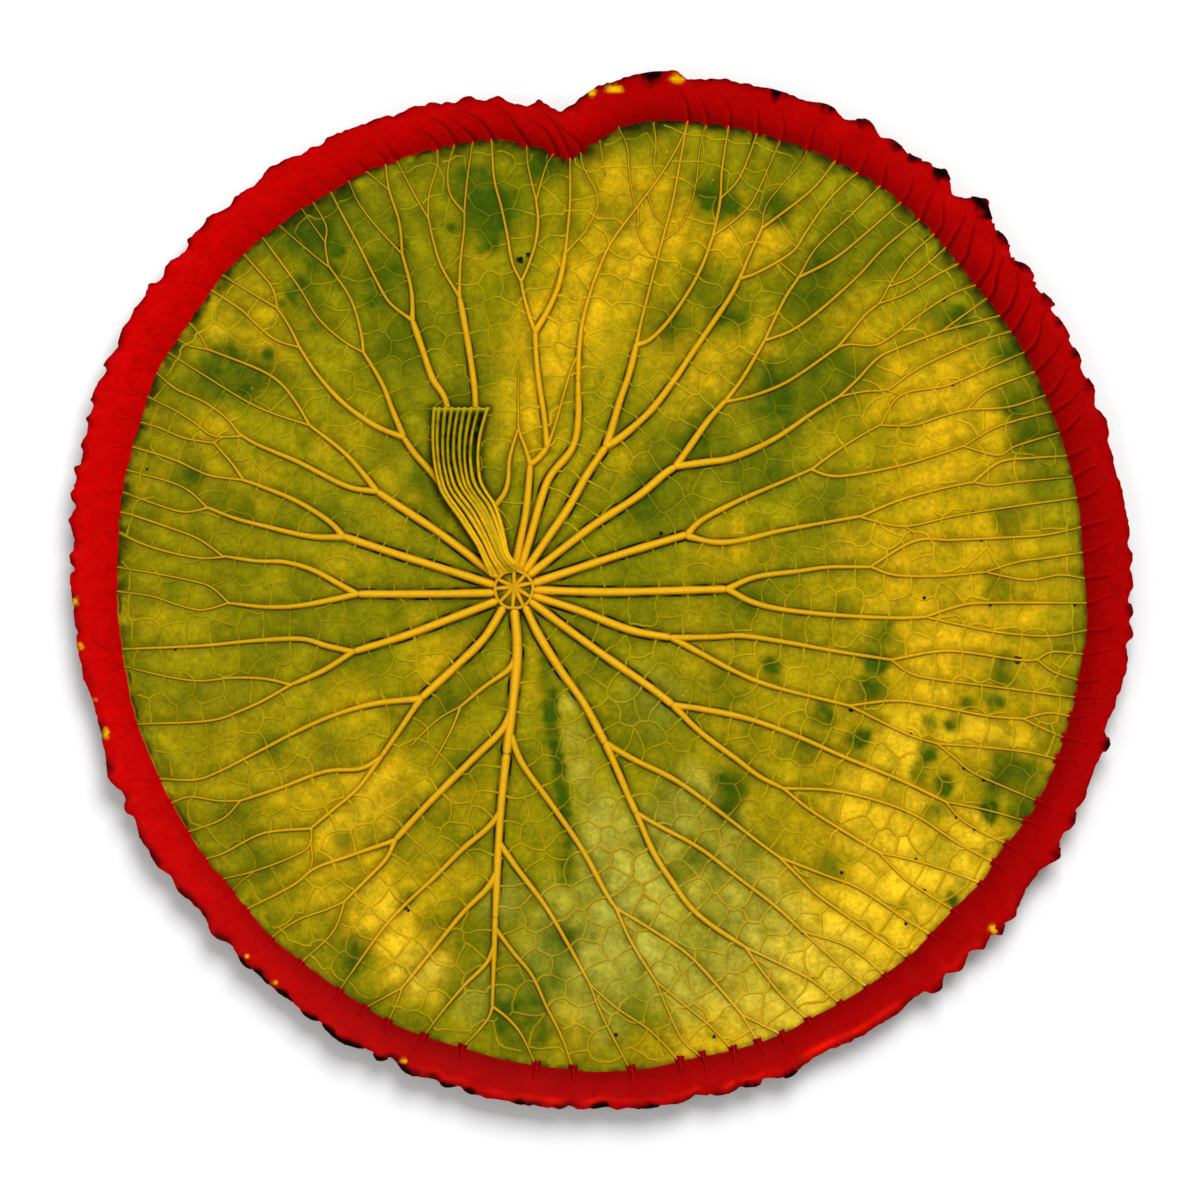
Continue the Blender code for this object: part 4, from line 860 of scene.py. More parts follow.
def rim_colour(points):
    """The rim's red: bright on the left, deeper elsewhere, and with painted shade toward the
    crease.
    """
    angles, _ = polar(points)
    share = rim_share(points)
    left = facing(angles, 172, 1.7, 0.5)
    upper = facing(angles, 110, 1.0, 0.0)
    red = blend(RED_DEEP * 1.18, RED_TOP, 0.25 + upper + 0.5 * share)
    red = blend(red, RED, left * (0.75 + 0.4 * share))
    # Painted shade: deeper red toward the crease
    red = blend(red, RED_DEEP, 0.85 * bell(share, 0.30) * (1 - 0.85 * left))
    streaks = np.column_stack([(angles + 0.10 * share) * 0.12, 0.02 * share])
    folds = 0.5 * soft_noise(streaks, 0.0016, 63) + 0.5 * rough_noise(points, 0.0035, 61)
    return red * (1 + 0.13 * folds)[:, None]


def margin_colour(points, red):
    """The margin's dark tips on the left and low left, in painted shade, and its bright edge low
    down, a painted highlight.
    """
    angles, radii = polar(points)
    margin = radius_toward(angles, MARGIN_LINE)
    ahead = radius_toward(angles + 0.012, MARGIN_LINE)
    from_edge = margin - radii
    low_left = facing(angles, 228, 2.2, 1.1)
    low = facing(angles, 275, 1.8, 0.7)
    # Painted highlight along the edge low down
    lit = bell(from_edge - 0.0018, 0.0007) * unit(2 * low - 0.9) * (1 - 0.6 * low_left)
    red = blend(red, RED_BRIGHT, lit * (0.5 + 0.9 * soft_noise(points, 0.005, 107)))
    # Painted shade on one side of each tooth and along the low left edge
    tip = bell(from_edge, 0.0011) * unit((margin - ahead) / (3 * SQUARE) * 0.8)
    deep_shade = 1.2 * bell(from_edge, 0.0014) * low_left
    lumps = unit(0.2 + 1.5 * rough_noise(points, 0.0045, 105))
    red = blend(red, TIP_SHADE, np.maximum(tip, deep_shade * (0.4 + lumps)))
    # Painted shade along the very edge, in lumps
    upper = facing(angles, JAGGED_DEGREES, 1.5, 0.3)
    wear_and_shade = 0.40 + 0.5 * np.maximum(low, low_left) + 0.35 * upper
    return blend(red, TIP_SHADE * 0.6, bell(from_edge, 0.0010) * lumps * wear_and_shade)


def down_colour(points, vein_gap):
    """The side that lies down: deep green with lighter veins, and a brown-red rim."""
    mottle = rough_noise(points, 0.012, 151)
    green = DOWN_GREEN * (1 + 0.25 * mottle)[:, None]
    green = blend(green, OLIVE_LIGHT, 0.35 * bell(vein_gap, 0.0012))
    red = DOWN_RED * (1 + 0.2 * mottle)[:, None]
    return np.where((rim_share(points) > 0.0)[:, None], red, green)


def new_mesh(name, points, faces, colours, domain="POINT", materials=None):
    """A smooth mesh object with its colours in an attribute named tint."""
    mesh = bpy.data.meshes.new(name)
    mesh.from_pydata(np.asarray(points).tolist(), [], faces)
    tint = mesh.color_attributes.new("tint", "FLOAT_COLOR", domain)
    full = np.ones((len(colours), 4), dtype=np.float32)
    full[:, :3] = colours
    tint.data.foreach_set("color", full.ravel())
    if materials is not None:
        mesh.polygons.foreach_set("material_index", materials.astype(np.int32))
    mesh.shade_smooth()
    mesh.update()
    made = bpy.data.objects.new(name, mesh)
    bpy.context.scene.collection.objects.link(made)
    return made


class Strips:
    """Raised strips that follow lines on the blade, gathered into one mesh."""

    def __init__(self):
        self.points = []
        self.colours = []
        self.faces = []
        self.count = 0

    def add(self, line, profile):
        """A strip with, for each profile row, its offset, lift and colour at each station."""
        across = normals(line)
        stations = len(line)
        for offset, lift, colour in profile:
            ground = line + across * np.broadcast_to(offset, stations)[:, None]
            self.points.append(np.column_stack([ground, blade_top(ground) + lift]))
            self.colours.append(np.broadcast_to(colour, (stations, 3)))
        station = np.arange(stations - 1)
        for row in range(len(profile) - 1):
            near = self.count + row * stations + station
            far = near + stations
            self.faces.append(np.column_stack([near, far, far + 1, near + 1]))
        self.count += stations * len(profile)

    def build(self, name):
        """The mesh object of all the strips."""
        faces = np.vstack(self.faces).tolist()
        return new_mesh(name, np.vstack(self.points), faces, np.vstack(self.colours))


def run_back(route):
    """A route that begins a little further back, in the vein it forks from or in the hub's ring."""
    if np.hypot(*route[0]) < HUB_CLEAR:
        away = route[0] - RING_MIDDLE
        return np.vstack([RING_MIDDLE + RING_RADIUS * away / np.hypot(*away), route[1:]])
    back = route[0] - route[1]
    return np.vstack([route[0] + back / np.hypot(*back) * FORK_OVERLAP, route[1:]])


def run_on(route):
    """A route that stops short of the crease, carried on to it in its own direction."""
    end = route[-1]
    gap = inside_crease(end)[0]
    if not 0.0 < gap < NEAR_CREASE:
        return route
    run = (end - route[-2]) / np.hypot(*(end - route[-2]))
    outward = (end - MIDDLE) / polar(end)[1][0]
    steep = max(float(run @ outward), 0.4)
    return np.vstack([route[:-1], end + run * (gap + CREASE_OVERRUN) / steep])


def all_veins():
    """Every vein as a smooth line with its width at each station, eased where veins fork."""
    table = VEINS + FINE_VEINS
    starts = placed([entry[2] for entry in table])
    ends = placed([entry[-1] for entry in table])
    first_widths, last_widths = np.array([entry[:2] for entry in table]).T * SQUARE
    veins = []
    for index, (_, _, *squares) in enumerate(table):
        line = smooth_line(run_on(run_back(placed(squares))), VEIN_STEP)
        first, last = first_widths[index], last_widths[index]
        length = length_of(line)
        even = np.linspace(0.0, length, len(line))
        near_ends = (0.15 * first, 0.45 * first, length - 0.45 * last, length - 0.15 * last)
        travelled = np.unique(np.concatenate([even, near_ends]).round(7))
        line = np.column_stack([np.interp(travelled, even, line[:, axis]) for axis in (0, 1)])
        widths = first + (last - first) * travelled / length
        followers = np.hypot(*(starts - ends[index]).T) < FORK_REACH
        if followers.any():
            wider = first_widths[followers].max() - last
            widths += wider / 2 * bell(travelled[-1] - travelled, FORK_EASE)
        leaders = np.hypot(*(ends - starts[index]).T) < FORK_REACH
        if leaders.any():
            wider = max(0.0, last_widths[leaders].max() - first)
            widths += wider / 2 * bell(travelled, FORK_EASE)
        veins.append((line, widths))
    return veins


def make_vein_strips(veins):
    """The raised veins: rounded gold ridges with painted shade on their flanks and broken dark
    lines of painted shade along their feet.
    """
    strips = Strips()
    for line, widths in veins:
        thick = unit((widths / SQUARE - 3.0) / 4.5)
        half = widths / 2 * (0.80 + 0.22 * bell(widths / SQUARE - 6.0, 1.8) + 0.16 * thick)
        half = half * (1 + 0.08 * soft_noise(line, 0.004, 33))
        half[[0, -1]] *= 0.30
        half[[1, -2]] *= 0.75
        half[[2, -3]] *= 0.95
        ends = np.ones(len(line))
        ends[[0, -1]] = 0.0
        ends[[1, -2]] = 0.85
        height = widths * VEIN_HEIGHT_PER_WIDTH
        at_crease = bell(np.maximum(inside_crease(line), 0.0), 0.0040)
        thin_there = at_crease * (1 - thick)
        half = half * (1 - 0.25 * thin_there)
        glow = 0.5 + 0.5 * rough_noise(line, 0.012, 31)
        gold = blend(VEIN_SHADED, VEIN_GOLD, 0.15 + 0.6 * thick + 0.35 * glow)
        ground = ground_colour(line)
        gold = blend(gold, ground * 1.3, 0.22 * (1 - thick) + 0.45 * thin_there)
        upper = facing(polar(line)[0], 75, 1.0, -0.4)
        rows = {}
        # Painted shade on the dark feet, deepest near the crease at the top, and on the darker
        # flanks; the crest is a touch lighter, a painted highlight
        for side in (-1, 1):
            mottle = soft_noise(line, 0.0024, 35 + side)
            dark = unit(0.72 + 0.6 * mottle) * (0.26 + 0.74 * thick)
            deep_shade = unit(mottle + 0.55) * at_crease * upper * (0.75 + 0.25 * side)
            foot = blend(ground * 0.72, FOOT_SHADE, np.maximum(dark, deep_shade))
            foot_reach = half + 0.00011 + 0.00036 * thick + 0.00045 * deep_shade
            rows[side] = [
                (side * (foot_reach + 0.00024), VEIN_SUNK, blend(foot, ground * 0.8, 0.6)),
                (side * foot_reach, -0.00006, foot),
                (side * half, -0.00002, foot),
                (side * half * 0.88, height * 0.34, gold * 0.66),
                (side * half * 0.62, height * 0.76, gold * 0.92),
                (side * half * 0.26, height * 0.96, gold),
            ]
        profile = rows[-1] + [(0.0, height, gold * 1.04)] + rows[1][::-1]
        strips.add(line, [(offset, lift * ends + VEIN_SUNK * (1 - ends), colour)
                          for offset, lift, colour in profile])
    return strips.build("veins")


def network_seeds(veins, vein_tree):
    """One point for each cell of the fine network: in rows beside veins, then between."""
    draw = np.random.default_rng(5)
    seeds, cells = [], {}

    def cell_of(point):
        """The grid cell that a point is filed under."""
        return int(point[0] // CELL_SIZE), int(point[1] // CELL_SIZE)

    def crowded(point, spacing):
        """Whether a point kept before lies closer than the spacing."""
        column, row = cell_of(point)
        around = [(x, y) for x in range(column - 1, column + 2) for y in range(row - 1, row + 2)]
        return any(math.hypot(other[0] - point[0], other[1] - point[1]) < spacing
                   for cell in around for other in cells.get(cell, ()))

    def offer(point, room, spacing):
        """Keep a point that has room from the veins and from the points kept before."""
        gap = vein_tree.find((point[0], point[1], 0.0))[2]
        if gap > room and not crowded(point, spacing):
            seeds.append(point)
            cells.setdefault(cell_of(point), []).append(point)

    for line, widths in veins:
        stations = along(line, max(2, round(length_of(line) / CELL_SIZE)))
        aside = normals(stations) * (CELL_FROM_VEIN + widths.mean() / 2)
        for point in np.vstack([stations - aside, stations + aside]):
            shift = draw.uniform(-CELL_SHIFT, CELL_SHIFT, 2)
            offer(point + shift, 0.62 * CELL_FROM_VEIN, 0.62 * CELL_SIZE)
    reach = CREASE_RADIUS * 1.05
    for point in MIDDLE + draw.uniform(-reach, reach, (CELL_TRIES, 2)):
        offer(point, 0.8 * CELL_FROM_VEIN, 0.82 * CELL_SIZE)
    return np.array(seeds)


def circle_middle(a, b, c):
    """The middle of the circle through three points."""
    d = 2 * (a[0] * (b[1] - c[1]) + b[0] * (c[1] - a[1]) + c[0] * (a[1] - b[1]))
    if abs(d) < 1e-14:
        return (a + b + c) / 3
    aa, bb, cc = (a * a).sum(), (b * b).sum(), (c * c).sum()
    x = (aa * (b[1] - c[1]) + bb * (c[1] - a[1]) + cc * (a[1] - b[1])) / d
    y = (aa * (c[0] - b[0]) + bb * (a[0] - c[0]) + cc * (b[0] - a[0])) / d
    return np.array([x, y])


def network_lines(seeds, vein_tree, vein_widths):
    """The walls between the cells, apart from those that run along a vein or the crease."""
    made, _, faces, *_ = delaunay_2d_cdt([Vector(seed) for seed in seeds], [], [], 0, 1e-9)
    corners = np.array([tuple(point) for point in made])
    middles = [circle_middle(*corners[list(face)]) for face in faces]
    sides = {}
    for index, face in enumerate(faces):
        for first, second in ((0, 1), (1, 2), (2, 0)):
            key = tuple(sorted((face[first], face[second])))
            sides.setdefault(key, []).append(index)
    lines = []
    for pair in sides.values():
        if len(pair) != 2:
            continue
        start, end = middles[pair[0]], middles[pair[1]]
        size = math.hypot(*(end - start))
        if not SHORTEST_WALL <= size <= LONGEST_WALL:
            continue
        share = np.linspace(0.0, 1.0, max(3, int(size / NET_STEP) + 2))
        line = start + (end - start) * share[:, None]
        arch = 0.17 * size * soft_noise((start + end) / 2, 0.0021, 43)[0]
        bend = (NET_WOBBLE * soft_noise(line, 0.0030, 41) + arch) * np.sin(math.pi * share)
        run = (end - start) / size
        line = line + np.array([-run[1], run[0]]) * bend[:, None]
        near, gaps = nearest(vein_tree, line)
        beside = gaps - vein_widths[near] / 2 < WALL_FROM_VEIN
        if beside.mean() > 0.66 or inside_crease(line.mean(0))[0] < WALL_FROM_CREASE:
            continue
        inside = inside_crease(line) > 0.0002
        if inside.sum() >= 2:
            lines.append(line[inside])
    return lines


def make_network(lines):
    """The fine network: low ridges with painted light on one side and painted shade on the other,
    darker and flatter on pale ground.
    """
    strips = Strips()
    for line in lines:
        run = line[-1] - line[0]
        if run[1] * LIT_FROM[0] - run[0] * LIT_FROM[1] > 0.0:
            line = line[::-1]
        pale = unit(patches(line, PALE_PATCHES) * 1.4)
        low = unit((0.012 - line[:, 1]) / 0.07)
        plain = np.maximum(np.maximum(pale, 0.55 * low),
                           0.9 * patches(line, YELLOW_PATCHES) ** 1.5)
        faint = facing(polar(line)[0], 205, 1.5, 0.3) * (1 - plain)
        half = NET_WIDTH / 2 * (0.84 + 0.55 * plain) * (1 + 0.3 * soft_noise(line, 0.003, 51))
        strength = np.clip(0.75 + 0.7 * soft_noise(line, 0.012, 52) + 0.3 * plain, 0.30, 1.0)
        height = NET_HEIGHT * strength - 0.0001
        ends = np.ones(len(line))
        ends[[0, -1]] = 0.55
        ground = ground_colour(line)
        # Painted highlight on the crests, painted shade on the side away from the light
        crest = blend(ground * 1.36, blend(NET_GOLD, NET_PALE, plain), 0.22 + 0.66 * plain)
        crest = blend(ground, crest, strength * (1 - 0.5 * faint))
        shade = ground * (0.80 - 0.30 * strength * (0.6 + 0.8 * plain))[:, None]
        lee = ground * (0.95 - 0.22 * plain * strength)[:, None]
        strips.add(line, [
            (-half * 1.9, NET_SUNK, shade),
            (-half, height * 0.2 - 0.00004, blend(shade, crest, 0.10 + 0.1 * strength)),
            (0.0, height * ends, crest),
            (half, height * 0.2 - 0.00004, blend(lee, crest, 0.5 + 0.2 * strength)),
            (half * 1.9, NET_SUNK, lee),
        ])
    return strips.build("vein_network")


def rim_vein_starts(veins):
    """The direction and width of the veins that reach the crease, without close thin ones."""
    tips = sorted((float(polar(line[-1])[0][0]), float(widths[-1])) for line, widths in veins
                  if inside_crease(line[-1])[0] < NEAR_CREASE)
    return [tip for index, tip in enumerate(tips)
            if index == 0 or tip[0] - tips[index - 1][0] > ARC_GAP or tip[1] > THICK_TIP]


def make_rim_veins(veins):
    """The veins' run across the red rim: curved ridges at the upper right, spurs elsewhere, each
    with painted shade on one side and a painted highlight on the other.
    """
    strips = Strips()
    for index, (angle, _) in enumerate(rim_vein_starts(veins)):
        arched = facing(angle, 62, 1.5, -0.1)
        low = facing(angle, -82, 1.6, 0.2)
        high = facing(angle, 80, 1.6, 0.9)
        faint = unit(-math.cos(angle))
        chance = 0.5 + 0.5 * math.sin(12.9 * index + 1.3)
        bend = max(arched, 0.7 * faint) * (0.030 + 0.040 * chance)
        spur = 0.0011 * low * (0.3 + chance) + 0.0009 * high
        runs = [(1, 0.38 + 0.27 * chance + 0.35 * arched, max(0.35, 0.8 * arched, 0.7 * low))]
        if faint > 0.3 and arched < 0.5 and chance > 0.4:
            runs.append((-1, 0.45 + 0.35 * chance, 0.4 * faint))
        for side, reach, strength in runs:
            out = np.linspace(0.0, reach, ARC_DRAWN)
            angles = angle + side * bend * out ** 1.7
            angles = angles + 0.010 * np.sin(5 * out + 2.7 * index) * out
            crease = radius_toward(angles, CREASE_LINE)
            band = radius_toward(angles, MARGIN_LINE) - crease
            start = -spur if side > 0 else 0.0
            line = along(from_polar(angles, crease + start + band * out), ARC_STATIONS)
            out = np.linspace(0.0, reach, ARC_STATIONS)
            fade = strength * unit(1.25 - out / reach) ** 0.7
            half = 0.00018 + 0.00012 * low * (0.4 + chance) + 0.00034 * arched + 0.00014 * faint
            half = half * (1.2 - 0.6 * out / reach)
            height = rim_relief(line) + RIM_LIFT * unit(out * 12)
            height += 0.00014 + 0.00010 * fade + 0.0003 * low * bell(out, 0.1)
            height -= 0.0006 * unit(out / reach * 4 - 3)
            red = rim_colour(line)
            # Painted shade on one side of each ridge, a painted highlight on the other
            dark = blend(red, RED_DEEP * 0.30, fade * (0.58 + 0.35 * chance))
            light = blend(red, RED_BRIGHT * 0.9, fade * (0.12 + 0.12 * arched + 0.3 * low))
            strips.add(line, [
                (-half * 3.2, height - 0.00050, red),
                (-half * 1.5, height - 0.00014, blend(red, dark, fade * 0.8)),
                (-half * 0.6, height - 0.00003, dark),
                (half * 0.1, height, blend(dark, light, 0.5)),
                (half * 0.9, height - 0.00005, light),
                (half * 1.6, height - 0.00016, blend(red, dark, 0.6 * low)),
                (half * 3.0, height - 0.00050, red),
            ])
    return strips.build("rim_veins")


def make_hub():
    """The ring round the hub and the spokes inside it."""
    strips = Strips()

    def ridge(line, widths, height):
        """A rounded ridge along a line, with painted shade on its flanks and at its dark feet."""
        half = widths / 2
        gold = blend(VEIN_SHADED, VEIN_GOLD, 0.55 + 0.4 * soft_noise(line, 0.003, 161))
        dark = blend(GREEN * 0.7, FOOT_SHADE, 0.5 + 0.6 * soft_noise(line, 0.0022, 163))
        rows = {}
        for side in (-1, 1):
            rows[side] = [
                (side * half * 1.6, -0.0003, dark),
                (side * half * 1.2, 0.00005, dark),
                (side * half, height * 0.3, gold * 0.55),
                (side * half * 0.6, height * 0.8, gold * 0.88),
            ]
        strips.add(line, rows[-1] + [(0.0, height, gold)] + rows[1][::-1])

    turns = np.linspace(0.0, 2 * math.pi, 97)
    wobble = 1 + 0.012 * np.sin(5 * turns) + 0.010 * np.sin(9 * turns + 0.6)
    around = np.column_stack([np.cos(turns), np.sin(turns)])
    ring = RING_MIDDLE + RING_RADIUS * wobble[:, None] * around
    ridge(ring, RING_WIDTH, RING_HEIGHT)
    for turn in np.radians(SPOKE_DEGREES):
        end = RING_MIDDLE + RING_RADIUS * np.array([math.cos(turn), math.sin(turn)])
        line = np.linspace(end * 0.02, end * 0.98, 14)
        ridge(line, SPOKE_WIDTH * np.linspace(1.25, 0.85, len(line)), SPOKE_HEIGHT)
    return strips.build("hub")


def make_curls():
    """The margin's dark curls: a lens-shaped hollow behind a thin turned-up lip, darkened with
    painted shade.
    """
    strips = Strips()
    turn = np.linspace(-1.0, 1.0, 25)
    for x, y, wide, tall in DARK_CURLS:
        angle = polar(place((x, y)))[0]
        reach = math.hypot(wide, tall) * SQUARE * (1.25 if x < LONG_CURLS_LEFT_OF else 1.0)
        radius = radius_toward(angle, MARGIN_LINE)[0]
        angles = angle + turn * reach / radius
        beside = np.linspace(-0.45, 0.45, 7) * reach / radius
        margin = sum(radius_toward(angles + shift, MARGIN_LINE) for shift in beside) / len(beside)
        line = from_polar(angles, margin - 0.0003)
        lens = np.sqrt(unit(1 - turn ** 2)) * (1 + 0.35 * soft_noise(line, 0.0016, 191))
        low_left = max(0.0, math.cos(angle[0] - math.radians(232)))
        depth = (0.0004 + 0.26 * reach) * (1 - 0.55 * low_left) * lens
        outer = np.minimum(depth, 0.0005)
        curl = rim_relief(line) + RIM_LIFT
        red = rim_colour(line)
        strength = min(1.6, reach / 0.0029 + 0.45 * low_left)
        deep_shade = lens * strength * (1 + 0.4 * soft_noise(line, 0.0011, 195))
        # Painted shade in the hollow behind the lip
        strips.add(line, [
            (-outer - 0.0001, curl - 0.0008, red * 0.3),
            (-outer, curl + 0.00010 * lens, blend(red * 0.6, CURL_SHADE * 3, deep_shade * 1.2)),
            (-outer * 0.5, curl + 0.00045 * lens, blend(red * 0.7, CURL_SHADE * 2, deep_shade * 1.3)),
            (depth * 0.1, curl + 0.00050 * lens, blend(red * 0.8, CURL_SHADE, deep_shade * 1.2)),
            (depth * 0.6, curl + 0.00042 * lens, blend(red, CURL_SHADE, deep_shade * 1.1)),
            (depth * 1.0, curl + 0.00040 * lens, blend(red, TIP_SHADE * 0.35, deep_shade)),
            (depth * 1.4, curl + 0.00036 * lens, blend(red, TIP_SHADE, deep_shade * 0.8)),
            (depth * 1.8, curl + 0.00030 * lens, blend(red, TIP_SHADE, deep_shade * 0.35)),
            (depth * 2.2 + 0.0002, curl - 0.0003, red),
        ])
    return strips.build("margin_curls")


def make_pits():
    """Small black pits in the blade, each a shallow cup with a dark brown lip."""
    rings = ((0.6, 0.0, PIT_WALL), (0.95, 0.00004, PIT_LIP), (1.4, -0.0004, PIT_EDGE))
    turns = [2 * math.pi * corner / PIT_CORNERS for corner in range(PIT_CORNERS)]
    points, faces, colours = [], [], []
    for x, y, radius in PITS:
        middle = place((x, y))
        first = len(points)
        level = float(blade_top(middle)[0]) + PIT_LEVEL
        points.append((*middle, level - 0.0001))
        colours.append(PIT_BLACK)
        for out, lift, tone in rings:
            for turn in turns:
                reach = radius * SQUARE * out * (1 + 0.15 * math.sin(3 * turn + x))
                points.append((middle[0] + reach * math.cos(turn),
                               middle[1] + reach * math.sin(turn), level + lift))
                colours.append(tone)
        for corner in range(PIT_CORNERS):
            a, b = first + 1 + corner, first + 1 + (corner + 1) % PIT_CORNERS
            faces.append((first, a, b))
            for low in (0, PIT_CORNERS):
                high = low + PIT_CORNERS
                faces.append((a + low, a + high, b + high, b + low))
    return new_mesh("pits", points, faces, colours)


def make_stalk():
    """The flattened stub: thin ribs with dark gaps of painted shade between, lofted along its two
    edges.
    """
    left = along(smooth_line(placed(STALK_LEFT), STALK_STEP), STALK_SECTIONS)
    right = along(smooth_line(placed(STALK_RIGHT), STALK_STEP), STALK_SECTIONS)
    end_run = (left[0] - left[1]) / np.hypot(*(left[0] - left[1]))
    count = len(RIBS_AT_CUT) * POINTS_PER_RIB + 1
    across = np.linspace(0.0, 1.0, count)
    rounding = np.sqrt(unit(1 - np.abs(2 * across - 1) ** 5))
    full_body = STALK_EDGE_THICKNESS + (STALK_THICKNESS - STALK_EDGE_THICKNESS) * rounding
    outer = unit((np.abs(across - 0.5) - 0.36) / 0.06)
    points, colours = [], []
    for index in range(STALK_SECTIONS):
        share = index / (STALK_SECTIONS - 1)
        merge = unit((share - 0.30) / 0.55)
        tip = unit((share - 0.94) / 0.06)
        lip = math.exp(-(share / 0.018) ** 2)

        # The body between the two edges, thinner and lower at its foot
        ground = left[index] + (right[index] - left[index]) * across[:, None]
        near_hub = unit((share - 0.7) / 0.2)
        clearance = STALK_CLEARANCE + (STALK_FOOT_CLEARANCE - STALK_CLEARANCE) * near_hub
        clearance -= STALK_SINK * unit((share - 0.86) / 0.14) ** 2
        under = blade_top(ground).max() + clearance
        thinning = unit((share - 0.8) / 0.2)
        body = (full_body + (STALK_FOOT_THICKNESS - full_body) * thinning) * (1 - 0.5 * tip)

        # The ribs, which merge toward the foot, and the lip at the cut
        middles = RIBS_AT_CUT + (RIBS_AT_FOOT - RIBS_AT_CUT) * merge
        rib_reach = RIB_REACH_AT_CUT + (RIB_REACH_AT_FOOT - RIB_REACH_AT_CUT) * merge
        drift = across + 0.008 * np.sin(9 * share + 14 * across) * np.sin(math.pi * across)
        from_rib = np.abs(drift[:, None] - middles).min(1)
        ribs = unit(1 - (from_rib / rib_reach) ** 3)
        top = under + body + RIB_HEIGHT * (ribs - 0.25 * (1 - ribs) * (1 - share)) * (1 - tip)
        top = top + RIB_HEIGHT * 0.7 * lip * (1 - ribs)
        scallop = 0.00035 * (1 - ribs) * lip

        # Olive and gold on the ribs, with painted shade in the gaps and on the ribs' sides
        spot = np.column_stack([across * 0.02, np.full(count, share * 0.05)])
        gilding = share * 1.35 - 0.12 + 0.35 * rough_noise(spot, 0.003, 171)
        olive = blend(STALK_OLIVE, STALK_GOLD, gilding)
        olive = blend(olive, STALK_GOLD, outer * (0.3 + 0.5 * share))
        olive = blend(olive, STALK_OLIVE * 0.9, 0.8 * bell(across - 0.66, 0.10) * merge)
        gap = blend(STALK_GAP_SHADE, GREEN * 0.8, 0.25 + 0.9 * rough_noise(spot, 0.0016, 181))
        gap = blend(gap, STALK_GOLD * 0.4, (share - 0.76) / 0.22)
        wear_and_shade = 0.5 * unit(-rough_noise(spot, 0.0020, 173) - 0.1) * (1 - merge)
        solid = unit(ribs * 1.9 - 0.25) * (1 - wear_and_shade)
        tint = blend(gap, olive * (0.74 + 0.26 * ribs)[:, None], solid)
        tint = blend(tint, STALK_OLIVE * 1.5, lip)

        points.append(np.column_stack([ground - end_run * scallop[:, None], top]))
        points.append(np.column_stack([ground[::-1], np.full(count, under)]))
        # Painted shade on the stalk's under side
        colours += [tint, olive * 0.6]
    size = 2 * count
    grid = np.arange(STALK_SECTIONS * size).reshape(STALK_SECTIONS, size)
    after = np.roll(grid, -1, axis=1)
    walls = np.column_stack([
        grid[:-1].ravel(), grid[1:].ravel(), after[1:].ravel(), after[:-1].ravel()])
    caps = []
    for row, order in ((grid[0], 1), (grid[-1], -1)):
        for step in range(count - 1):
            quad = [row[step], row[step + 1], row[size - 2 - step], row[size - 1 - step]]
            caps.append(quad[::order])
    faces = np.vstack([walls, caps]).tolist()
    return new_mesh("leaf_stalk", np.vstack(points), faces, np.vstack(colours))


def even_grid(step):
    """Points of an even triangular pattern round the leaf's middle."""
    count = int(GRID_REACH / step) + 2
    rows, columns = np.meshgrid(np.arange(-count, count + 1), np.arange(-count, count + 1))
    x = step * (columns + 0.5 * (rows % 2))
    y = step * rows * math.sqrt(3) / 2
    return MIDDLE + np.column_stack([x.ravel(), y.ravel()])


def side_points(step, rim_step):
    """The points of one side of the blade, clear of its outline, crease and crease rings."""
    inner = even_grid(step)
    inner = inner[inside_crease(inner) > 0.45 * step]
    for ring in CREASE_RINGS[:2]:
        inner = inner[np.abs(inside_crease(inner) + ring) > 0.40 * step]
    outer = even_grid(rim_step)
    outer = outer[-inside_crease(outer) > CREASE_RINGS[2] + 0.4 * rim_step]
    angles, radii = polar(outer)
    outer = outer[radii < radius_toward(angles, MARGIN_LINE) - 0.6 * rim_step]
    return np.vstack([inner, outer])


def triangulate(outline, crease, others):
    """Triangles inside an outline that keep the crease as an unbroken line."""
    points = np.vstack([outline, crease, others])
    first = len(outline)
    loop = [(first + i, first + (i + 1) % len(crease)) for i in range(len(crease))]
    made, _, faces, origins, _, _ = delaunay_2d_cdt(
        [Vector(point) for point in points], loop, [list(range(first))], 1, 1e-8)
    moved = {source: index for index, sources in enumerate(origins) for source in sources}
    return np.array([tuple(p) for p in made]), np.array(faces), [moved[i] for i in range(first)]


def ragged_outline():
    """The toothed margin with its small ragged steps, most at the upper left."""
    outline = smooth_line(MARGIN_LINE, OUTLINE_STEP, closed=True)
    jagged = facing(polar(outline)[0], JAGGED_DEGREES, 1.6, 0.3)
    ragged = 0.00042 * rough_noise(outline, 0.0028, 91) + 0.00018 * soft_noise(outline, 0.0012, 97)
    ragged += 0.00062 * jagged * (0.3 + np.abs(soft_noise(outline, 0.0021, 95))) - 0.0003 * jagged
    away = outline - MIDDLE
    return outline + away / np.hypot(*away.T)[:, None] * ragged[:, None]


def down_height(points, vein_gap):
    """The height of the side that lies down, with shallow grooves along the veins."""
    share = rim_share(points)
    thickness = BLADE_THICKNESS + (MARGIN_THICKNESS - BLADE_THICKNESS) * share
    grooves = 0.00016 * bell(vein_gap, 0.0013) * (share <= 0.0)
    height = np.maximum(blade_top(points) - thickness, 0.0) + grooves + tooth_curl(points)
    return height + 0.00030 * rough_noise(points, 0.0045, 101) * share


